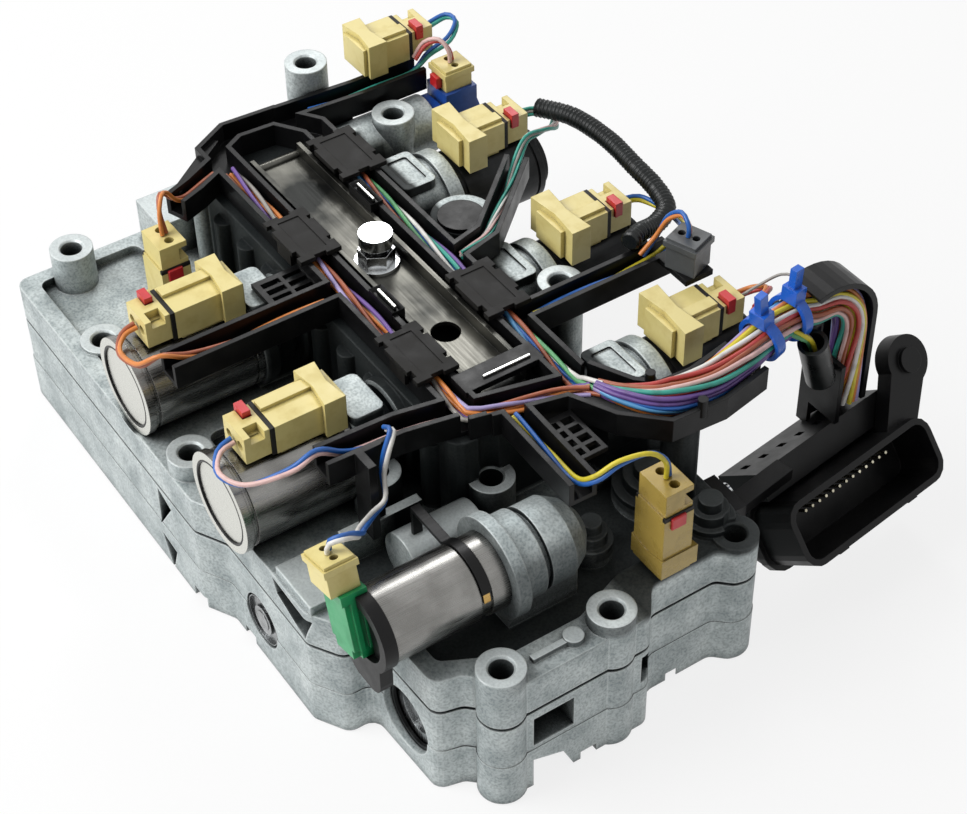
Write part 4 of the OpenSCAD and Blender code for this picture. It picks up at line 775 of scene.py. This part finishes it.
@dataclass
class Wiring:
    """The harness wires, in millimetres: two rails, the plugs' leads and the main bundle."""

    rail_front: float = 3.05
    rail_rear: float = 35.55
    rail_level: float = 4.4
    rail_step: float = 3.0
    wire: float = 1.45
    thin: float = 1.1
    bundle_wire: float = 1.55
    bundle_count: int = 37

    def rails(self) -> bpy.types.Object:
        """Builds the wires in the tray's two long ducts."""
        front = [(x, self.rail_front, self.rail_level) for x in (-84, -58, -32, -6, 20, 46)]
        front += [(51, 4.6, 4.4), (53.6, 10, 4.5), (56, 20, 4.6), (58.4, 30, 5), (63, 36.4, 7)]
        rear = [(x, self.rail_rear, self.rail_level) for x in (-76, -50, -24, 2, 28, 54)]
        rear += [(60, 36.2, 6), (66, 38.6, 7.6)]
        front_set = [Wire.ORANGE, Wire.BROWN, Wire.LILAC, Wire.ORANGE, Wire.GREY, Wire.PURPLE]
        rear_set = [Wire.BLUE, Wire.TEAL, Wire.WHITE, Wire.GREEN, Wire.BROWN, Wire.SKY, Wire.PURPLE]
        runs = [(Route(points, self.rail_step), packed(colours, self.wire))
                for points, colours in ((front, front_set), (rear, rear_set))]
        return Cords("tray_wire_set", lay=90, slack=0.5).build(runs, "tray_wires")

    def front_leads(self) -> list[tuple[list[Point], list[Strand]]]:
        """Gives the leads of the front, corner and end plugs."""
        return [
            ([(-35, -55.5, 5.5), (-34.5, -60, 4.5), (-29, -64, 3.5), (-20, -62.5, 4.5),
              (-14.8, -57.5, 9.4), (-14, -49, 6), (-14, -38, 4.2), (-14, -24, 4.2),
              (-14, -4.5, 4.2)], pair(Wire.ORANGE, Wire.BROWN)),
            ([(23, -55.5, 5.5), (24, -60.5, 4.5), (30, -64, 3), (38, -60, 3), (43.6, -49, 7),
              (44, -41, 9.8), (44.2, -34, 6), (44.5, -28, 4.4), (46, -16, 4.2), (48, -4, 4.2)],
             pair(Wire.PINK, Wire.BLUE)),
            ([(73.9, -55.4, 6.1), (74.2, -55, 9.5), (76, -50, 10.5), (73.5, -45.5, 6),
              (66, -41, -1), (60.2, -34, -4.5), (57.8, -28.5, -4), (53.5, -26.3, 1),
              (52.5, -24.3, 7), (50.5, -21, 11.9), (46.8, -21, 9.8)], pair(Wire.WHITE, Wire.BLUE)),
            ([(-72.5, -27, 1.4), (-74, -27, 8), (-76.5, -25, 12.5), (-78.5, -22.5, 11.5),
              (-79, -19.6, 7.5), (-80.3, -15.5, 4.9), (-82, -11, 4.6), (-86.5, -2, 4.6)],
             pair(Wire.ORANGE, Wire.BROWN)),
            ([(101, 34.5, 4.4), (100.5, 34, 10), (99.5, 29, 15), (97, 21, 14), (94.5, 15, 9.5),
              (88, 13.1, 5), (74, 13.5, 4.6), (58, 13.9, 4.6)], pair(Wire.YELLOW, Wire.BLUE)),
        ]

    def rear_leads(self) -> list[tuple[list[Point], list[Strand]]]:
        """Gives the leads of the rear plugs, the wires of the sleeve and a thin loop."""
        in_conduit = [Wire.GREY, Wire.TEAL, Wire.PINK, Wire.WHITE, Wire.TEAL]
        in_sleeve = [Wire.YELLOW, Wire.GREEN, Wire.GREY]
        return [
            ([(-106, 90.9, 13.9), (-105, 98, 15.9), (-100, 99, 15.9), (-97, 94, 12.5),
              (-97, 86, 9.8), (-97, 78, 5), (-97, 60, 4.6), (-98.5, 40, 4.6)],
             pair(Wire.BLUE, Wire.TEAL)),
            ([(-88, 89, 10.9), (-88.5, 88.5, 15), (-92, 87, 17.5), (-96, 84, 15), (-97, 80.5, 10)],
             pair(Wire.PINK, Wire.RED)),
            ([(-59, 96.9, 3.5), (-57.5, 102, 3.2), (-52, 104.5, 3.2), (-45, 100, 5), (-40, 92, 9.5),
              (-38.5, 85, 10.6), (-35.5, 79, 6), (-27, 69.5, 4.6), (-16.5, 57.7, 4.6),
              (-11.4, 51.3, 4.6), (-9.4, 45, 4.6), (-8.2, 40.5, 4.6)],
             packed(in_conduit, self.thin)),
            ([(-3, 96.9, 3.5), (-1.5, 102, 3.2), (6, 104.5, 3.2), (16, 104, 4.5), (23, 100, 8.5),
              (25.8, 95, 9.6), (26, 88, 5.5), (26, 76, 4.6), (26, 60, 4.6), (26, 42.5, 4.6)],
             pair(Wire.BLUE, Wire.YELLOW)),
            ([(52, 96.9, 3.5), (53.5, 102, 4.5), (58.5, 103.5, 8), (62.8, 99, 11),
              (67.6, 90.5, 12.5)], pair(Wire.ORANGE, Wire.RED)),
            ([(37, 90.5, 19.3), (36.8, 90.5, 22.5), (32.5, 91, 24), (28, 89.5, 20),
              (26.4, 87, 13.5), (26, 82, 8)], pair(Wire.BLUE, Wire.ORANGE)),
            ([(75.4, 94, 10.6), (79.5, 96, 10), (81.8, 98.8, 8), (81.6, 101.6, 4.2),
              (81, 104, -2.5), (80.5, 106, -8)], packed(in_sleeve, self.wire)),
            ([(54.5, 96.2, 5), (57, 101.5, 9), (60.5, 106.5, 13), (65, 108.5, 13.5),
              (68, 106, 10.5), (68.4, 101, 8.4), (70.5, 96, 9.5)],
             [Strand(Wire.GREY, 0.0, 0.0, 0.9)]),
        ]

    def leads(self) -> bpy.types.Object:
        """Builds the wires of every plug."""
        runs = [(Route(points), wires) for points, wires in self.front_leads() + self.rear_leads()]
        return Cords("plug_lead_set", lay=60).build(runs, "solenoid_leads")

    def bundle(self) -> bpy.types.Object:
        """Builds the bundle from the basket through the hook to the main connector."""
        route = Route([
            (64, 37.6, 7.8), (71, 41.3, 7.8), (78.5, 49.5, 7.8), (80.8, 63, 7.8), (78.8, 76, 8.6),
            (76.6, 88, 10.8), (74.2, 100, 10.5), (74.6, 106.5, 10), (75.2, 113, 10.6),
            (76, 118, 6.9), (76.6, 120.2, 0.6), (77, 120.2, -10), (77.3, 120.2, -20),
            (77.6, 120.2, -29)])
        mix = [Wire.ORANGE, Wire.PURPLE, Wire.WHITE, Wire.BLUE, Wire.BROWN, Wire.LILAC, Wire.TEAL,
               Wire.YELLOW, Wire.PURPLE, Wire.RED, Wire.SKY, Wire.PINK]
        colours = [mix[k * 7 % len(mix)] for k in range(self.bundle_count)]
        cords = Cords("main_wire_bundle", lay=230, slack=0.35, opens=22)
        return cords.build([(route, packed(colours, self.bundle_wire))], "main_bundle")

    def build(self) -> None:
        """Builds every wire."""
        self.rails()
        self.leads()
        self.bundle()


@dataclass
class Conduit:
    """Corrugated sleeve over the rear wires: narrow ridges on a smooth arc.

    Attributes:
        ridge: spacing of the ridges.
        outer: diameter over the ridges.
        inner: diameter between them.
        points: its way, with z counted from the spine's top.
    """

    ridge: float = 1.45
    outer: float = 6.4
    inner: float = 4.9
    points: list[Point] = field(default_factory=lambda: [
        (-52, 99, 9), (-40, 104, 10.5), (-24, 106, 10.5), (-8, 105, 10), (4, 104, 9.5),
        (13, 101, 9), (17, 94, 8.6), (19.5, 86, 10.8), (22.5, 80, 11.8)])

    def build(self) -> bpy.types.Object:
        """Builds the ridged sleeve along the cord's route."""
        spots = []
        for p, _side, _rise, way in Route(self.points, self.ridge / 4).samples():
            wave = 0.5 + 0.5 * math.cos(2 * math.pi * way / self.ridge)
            spots.append((p, (self.inner + (self.outer - self.inner) * wave) / 2))
        tubes = Tubes("ridged_conduit", 4)
        tubes.add_line(spots)
        piece = new_piece("ridged_conduit", tubes.mesh(), "conduit_plastic", Finishes.conduit)
        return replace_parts(piece, "conduit")


@dataclass(frozen=True)
class SpringSeat:
    """Where a spring works.

    Attributes:
        node: solid that it stands for.
        joint: joint that shortens it; not used.
        wire: wire diameter in millimetres.
        turns: turns of the coil with its flat ends.
        stroke: how much the joint shortens it, in millimetres; not used.
        fixed_high: whether the end at the greater Y stays still; not used.
    """

    node: str
    joint: str
    wire: float
    turns: int
    stroke: float
    fixed_high: bool


@dataclass
class Springs:
    """Coils of the valves and the accumulator."""

    seats: tuple[SpringSeat, ...] = (
        SpringSeat("regulator_spring", "regulator_slide", 1.1, 7, 6.0, False),
        SpringSeat("shift_spring_1", "shift_slide_1", 1.1, 7, 6.0, True),
        SpringSeat("shift_spring_2", "shift_slide_2", 1.1, 7, 6.0, True),
        SpringSeat("accumulator_spring", "accumulator_slide", 1.8, 8, 8.0, True))
    steps: int = 24
    sides: int = 8
    flat: float = 0.5

    def coil(self, seat: SpringSeat) -> bpy.types.Object:
        """Builds one coil in its solid's place.

        Args:
            seat: the spring's place and movement.

        Returns:
            The coil.
        """
        low, high = (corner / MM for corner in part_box(seat.node))
        middle = (low + high) / 2
        radius = (high.x - low.x - seat.wire) / 2
        rising = seat.turns - 2 * self.flat
        rise = (high.y - low.y - seat.wire) / rising
        shape = bmesh.new()
        start = bmesh.ops.create_circle(shape, segments=self.sides, radius=seat.wire / 2)["verts"]
        first = (middle.x + radius, low.y + seat.wire / 2, middle.z)
        bmesh.ops.translate(shape, verts=start, vec=first)
        end = start + edges_of(start)
        for turns, lift in ((self.flat, 0.0), (rising, rise), (self.flat, 0.0)):
            end = bmesh.ops.spin(shape, geom=end, cent=middle, axis=ALONG_BORES,
                                 angle=2 * math.pi * turns, steps=round(turns * self.steps),
                                 dvec=(0, lift / self.steps, 0))["geom_last"]
        bmesh.ops.holes_fill(shape, edges=[edge for edge in shape.edges if edge.is_boundary])
        name = f"{seat.node}_coil"
        piece = new_piece(name, finish_mesh(name, shape, smooth=True), "steel", Finishes.spring)
        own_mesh(piece)
        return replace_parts(piece, seat.node)

    def build(self) -> None:
        """Builds every spring."""
        for seat in self.seats:
            self.coil(seat)


@dataclass
class PlugSeat:
    """Where a two-pin plug stands and how it is turned.

    Attributes:
        foot: middle of its foot in millimetres.
        turn: axis and angle in degrees.
        length: length of its body in millimetres.
    """

    foot: Point
    turn: tuple[str, float]
    length: float


@dataclass
class Trim:
    """Small parts that only show: seals, snap rings, rail latches, bright strips, locks, a tab.

    Attributes:
        seal: width and thickness of a seal, in millimetres like all sizes here.
        seal_at: place of a seal behind the plug's end and above its foot.
        ring: radius, wire diameter and front face of a can's snap ring.
        ring_sections: sides of its wire and sections round it.
        bar: size and middle of the strip across the channel.
        tab: size and middle of the brass tab, which leans about Y by tab_lean degrees.
    """

    body: Range = (12.9, 9.9)
    seal: Range = (1.3, 0.85)
    seal_at: Range = (1.35, 0.05)
    ring: Point = (12.8, 0.7, -61.75)
    ring_sections: tuple[int, int] = (8, 72)
    can_axes: tuple[Range, ...] = ((-35.0, 60.5), (23.0, 60.5))
    latch: Point = (13.0, 4.4, 3.0)
    latch_wall: float = 1.2
    latch_slot: float = 1.4
    latch_feet: tuple[Point, ...] = ((0.2, 8.6, 82.1), (-46.4, 30.1, 82.1))
    strip: Point = (9.6, 0.9, 1.9)
    strip_lift: float = 2.5
    bar: tuple[Point, Point] = ((0.9, 16.0, 0.9), (43.4, 21.4, 84.35))
    strip_edge: float = 0.2
    tab: tuple[Point, Point] = ((0.6, 2.2, 3.4), (96.49, -21.5, 63.46))
    tab_lean: float = -15.8
    tab_edge: float = 0.15
    lock: Point = (1.8, 5.0, 4.2)
    lock_edge: float = 0.35
    lock_places: tuple[Point, ...] = ((107.4, 33.6, 69.3), (-66.1, -27.9, 66.5))
    seats: list[PlugSeat] = field(default_factory=lambda: [
        PlugSeat((-35, -35, 76), ("Z", 0), 24), PlugSeat((23, -35, 76), ("Z", 0), 24),
        PlugSeat((-72.5, -32.5, 57), ("X", -90), 24), PlugSeat((101, 29, 60), ("X", -90), 24),
        PlugSeat((-59, 78, 74), ("Z", 180), 19), PlugSeat((-3, 78, 74), ("Z", 180), 19),
        PlugSeat((52, 78, 74), ("Z", 180), 19), PlugSeat((-106, 72, 84.42), ("Z", 180), 19)])

    def block(self, shape: Shape, size: Point, middle: Point, edge: float,
              lean: float = 0.0) -> None:
        """Adds a block with rounded edges that leans about Y by some degrees."""
        corners = bmesh.ops.create_cube(shape, size=1.0)["verts"]
        bmesh.ops.scale(shape, verts=corners, vec=size)
        bmesh.ops.rotate(shape, verts=corners, cent=(0, 0, 0),
                         matrix=Matrix.Rotation(math.radians(lean), 3, "Y"))
        bmesh.ops.translate(shape, verts=corners, vec=middle)
        bmesh.ops.bevel(shape, geom=edges_of(corners), offset=edge, offset_type="OFFSET",
                        segments=2, profile=0.5, affect="EDGES", material=-1)

    def seals(self) -> bpy.types.Object:
        """Builds the rubber band in the groove of every large plug."""
        width, height = self.body
        back, lift = self.seal_at
        shape = bmesh.new()
        for seat in self.seats:
            start = bmesh.ops.create_grid(shape, x_segments=1, y_segments=1, size=0.5)["verts"]
            bmesh.ops.scale(shape, verts=start, vec=(width, height, 1))
            face = start[0].link_faces[0]
            rim = bmesh.ops.inset_region(shape, faces=[face], thickness=self.seal[1],
                                         use_boundary=True, use_even_offset=True)["faces"]
            bmesh.ops.delete(shape, geom=[face], context="FACES")
            grown = bmesh.ops.extrude_face_region(shape, geom=rim)["geom"]
            lifted = [item for item in grown if isinstance(item, bmesh.types.BMVert)]
            bmesh.ops.translate(shape, verts=lifted, vec=(0, 0, self.seal[0]))
            band = list({corner for side in rim for corner in side.verts} | set(lifted))
            axis, angle = seat.turn
            place = (Matrix.Translation(seat.foot) @ Matrix.Rotation(math.radians(angle), 4, axis)
                     @ Matrix.Translation((0, back - seat.length / 2, height / 2 + lift))
                     @ Matrix.Rotation(math.pi / 2, 4, "X"))
            bmesh.ops.transform(shape, matrix=place, verts=band)
        mesh = finish_mesh("plug_seals", shape)
        return new_piece("plug_seals", mesh, "black_plastic", Finishes.rubber)

    def rings(self) -> bpy.types.Object:
        """Builds the wire ring in the end plate of both front cans."""
        radius, wire, face = self.ring
        sides, sections = self.ring_sections
        shape = bmesh.new()
        for x, z in self.can_axes:
            start = bmesh.ops.create_circle(shape, segments=sides, radius=wire / 2)["verts"]
            bmesh.ops.translate(shape, verts=start, vec=(x + radius, face, z))
            bmesh.ops.spin(shape, geom=start + edges_of(start), cent=(x, face, z), axis=ALONG_BORES,
                           angle=2 * math.pi, steps=sections, use_merge=True)
        mesh = finish_mesh("can_snap_rings", shape, smooth=True)
        return new_piece("can_snap_rings", mesh, "black_steel", Finishes.strap)

    def latches(self) -> bpy.types.Object:
        """Builds the slotted latches on the two rails."""
        shape = bmesh.new()
        for x, y, z in self.latch_feet:
            corners = bmesh.ops.create_cube(shape, size=1.0)["verts"]
            bmesh.ops.scale(shape, verts=corners, vec=self.latch)
            bmesh.ops.translate(shape, verts=corners, vec=(x, y, z + self.latch[2] / 2))
            sides = {side for corner in corners for side in corner.link_faces}
            top = max(sides, key=lambda side: side.calc_center_median().z)
            bmesh.ops.inset_region(shape, faces=[top], thickness=self.latch_wall,
                                   use_even_offset=True)
            bmesh.ops.translate(shape, verts=top.verts, vec=(0, 0, -self.latch_slot))
        mesh = finish_mesh("rail_latches", shape)
        return new_piece("rail_latches", mesh, "black_plastic", Finishes.tray)

    def strips(self) -> bpy.types.Object:
        """Builds the bright strips in the latches and on the bar across the channel."""
        shape = bmesh.new()
        self.block(shape, *self.bar, self.strip_edge)
        for x, y, z in self.latch_feet:
            self.block(shape, self.strip, (x, y, z + self.strip_lift), self.strip_edge)
        mesh = finish_mesh("spring_strips", shape)
        return new_piece("spring_strips", mesh, "bright_steel", Finishes.strip)

    def lock_ends(self) -> bpy.types.Object:
        """Builds the near ends of the locks of the two upright plugs."""
        shape = bmesh.new()
        for place in self.lock_places:
            self.block(shape, self.lock, place, self.lock_edge)
        return new_piece("lock_ends", finish_mesh("lock_ends", shape), "red_plastic", Finishes.red)

    def brass_tab(self) -> bpy.types.Object:
        """Builds the tab at the end of the solenoid strap."""
        shape = bmesh.new()
        self.block(shape, *self.tab, self.tab_edge, self.tab_lean)
        return new_piece("strap_tab", finish_mesh("strap_tab", shape), "pin_brass", Finishes.brass)

    def build(self) -> None:
        """Builds every small part."""
        self.seals()
        self.rings()
        self.latches()
        self.strips()
        self.lock_ends()
        self.brass_tab()


@dataclass
class Solids:
    """The solids that keep their shape and take a finish here."""

    sets: tuple[tuple[Finish, tuple[str, ...]], ...] = (
        (Finishes.casting, ("upper_body", "lower_body")),
        (Finishes.plate, ("separator_plate",)),
        (Finishes.zinc, ("casting_bolts", "plug_pins", "bracket_screw", "channel_bolt")),
        (Finishes.turned, ("check_balls", "regulator_spool", "shift_spool_1", "shift_spool_2",
            "accumulator_piston", "regulator_plug", "shift_plug_1", "shift_plug_2")),
        (Finishes.spring, ("regulator_spring", "shift_spring_1", "shift_spring_2",
            "accumulator_spring")),
        (Finishes.can, ("pressure_solenoid_1", "pressure_solenoid_2", "lockup_solenoid")),
        (Finishes.black_can, ("shift_solenoid_1", "shift_solenoid_2", "shift_solenoid_3")),
        (Finishes.strap, ("accumulator_ring", "solenoid_strap")),
        (Finishes.cream, ("front_plug_1", "front_plug_2", "lockup_plug", "end_plug", "rear_plug_1",
            "rear_plug_2", "rear_plug_3", "top_plug", "sensor_plug")),
        (Finishes.amber, ("corner_plug",)),
        (Finishes.cover, ("duct_cover_1", "duct_cover_2", "duct_cover_3", "duct_cover_4")),
        (Finishes.connector, ("main_connector", "connector_bracket", "lockup_end_ring")),
        (Wire.BLUE.finish(), ("tray_wires", "solenoid_leads", "main_bundle")),
        (Finishes.conduit, ("conduit", "bundle_sleeve")),
        (Finishes.tray, ("harness_tray",)),
        (Finishes.sheet, ("centre_channel",)),
        (Finishes.green, ("lockup_terminal",)),
        (Finishes.blue, ("blue_sensor",)),
        (Finishes.red, ("plug_locks",)),
        (Finishes.grey, ("grey_plug",)),
        (Finishes.tie, ("cable_ties",)),
        (Finishes.pin, ("connector_pins",)))

    def dress(self) -> None:
        """Gives every solid its finish."""
        finishes = {name: finish for finish, names in self.sets for name in names}
        for name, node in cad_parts.items():
            node.data.materials.clear()
            node.data.materials.append(finishes[name].material())
            LOG.info("solid %s: %s", name, finishes[name].name)


@dataclass(frozen=True)
class Lamp:
    """A soft square lamp."""

    name: str
    at: Point
    size: float
    power: float


@dataclass
class Studio:
    """Camera at the photograph's angle, white floor and soft light."""

    eye: Point = (411.72, -227.02, 490.75)
    azimuth: float = 56.87
    elevation: float = 43.55
    roll: float = -1.12
    lens: float = 79.62
    sensor: float = 36.0
    clip: Range = (0.02, 50.0)
    floor_size: float = 6.0
    floor_level: float = -0.0004
    fill: float = 0.29
    aim: Point = (0.0, 0.0, 0.05)
    lamps: tuple[Lamp, ...] = (
        Lamp("key_softbox", (-0.35, -0.75, 0.85), 0.8, 13.0),
        Lamp("rear_strip_light", (-0.56, 0.37, 0.68), 0.2, 1.6))

    def camera(self) -> None:
        """Makes the camera."""
        data = bpy.data.cameras.new("photo_camera")
        data.lens = self.lens
        data.sensor_width = self.sensor
        data.clip_start, data.clip_end = self.clip
        eye = bpy.data.objects.new("photo_camera", data)
        bpy.context.scene.collection.objects.link(eye)
        a, e, r = (math.radians(v) for v in (self.azimuth, self.elevation, self.roll))
        back = Vector((math.sin(a) * math.cos(e), -math.cos(a) * math.cos(e), math.sin(e)))
        level = Vector((math.cos(a), math.sin(a), 0.0))
        steep = back.cross(level)
        right = level * math.cos(r) + steep * math.sin(r)
        up = steep * math.cos(r) - level * math.sin(r)
        turn = Matrix((right, up, back)).transposed().to_4x4()
        eye.matrix_world = Matrix.Translation(Vector(self.eye) * MM) @ turn
        bpy.context.scene.camera = eye

    def floor(self) -> None:
        """Makes the floor under the base face."""
        mesh = bpy.data.meshes.new("paper_floor")
        shape = bmesh.new()
        bmesh.ops.create_grid(shape, x_segments=1, y_segments=1, size=self.floor_size)
        bmesh.ops.translate(shape, verts=shape.verts, vec=(0, 0, self.floor_level))
        shape.to_mesh(mesh)
        shape.free()
        mesh.materials.append(Finishes.floor.material())
        floor = bpy.data.objects.new("paper_floor", mesh)
        bpy.context.scene.collection.objects.link(floor)

    def hang(self, lamp: Lamp) -> None:
        """Makes one lamp."""
        data = bpy.data.lights.new(lamp.name, "AREA")
        data.shape = "SQUARE"
        data.size = lamp.size
        data.energy = lamp.power
        made = bpy.data.objects.new(lamp.name, data)
        made.location = lamp.at
        made.rotation_mode = "QUATERNION"
        made.rotation_quaternion = (Vector(self.aim) - Vector(lamp.at)).to_track_quat("-Z", "Y")
        bpy.context.scene.collection.objects.link(made)

    def light(self) -> None:
        """Makes the world and the lamps."""
        world = bpy.data.worlds.new("studio")
        bpy.context.scene.world = world
        world.use_nodes = True
        tree = world.node_tree
        tree.nodes.clear()
        fill = add(tree, "ShaderNodeBackground", {"Color": WHITE, "Strength": self.fill})
        plain = add(tree, "ShaderNodeBackground", {"Color": WHITE, "Strength": 1.0})
        both = add(tree, "ShaderNodeMixShader",
                   {0: seen_white(tree), 1: fill.outputs[0], 2: plain.outputs[0]})
        add(tree, "ShaderNodeOutputWorld", {"Surface": both.outputs[0]})
        for lamp in self.lamps:
            self.hang(lamp)

    def build(self) -> None:
        """Builds the studio."""
        self.camera()
        self.floor()
        self.light()
        bpy.context.scene.view_settings.view_transform = "Standard"


def main() -> None:
    """Builds the studio and every sub-assembly in order."""
    logging.basicConfig(level=logging.INFO, format="%(message)s")
    Studio().build()
    Solids().dress()
    Wiring().build()
    Conduit().build()
    Springs().build()
    Trim().build()


if __name__ == "__main__":
    main()
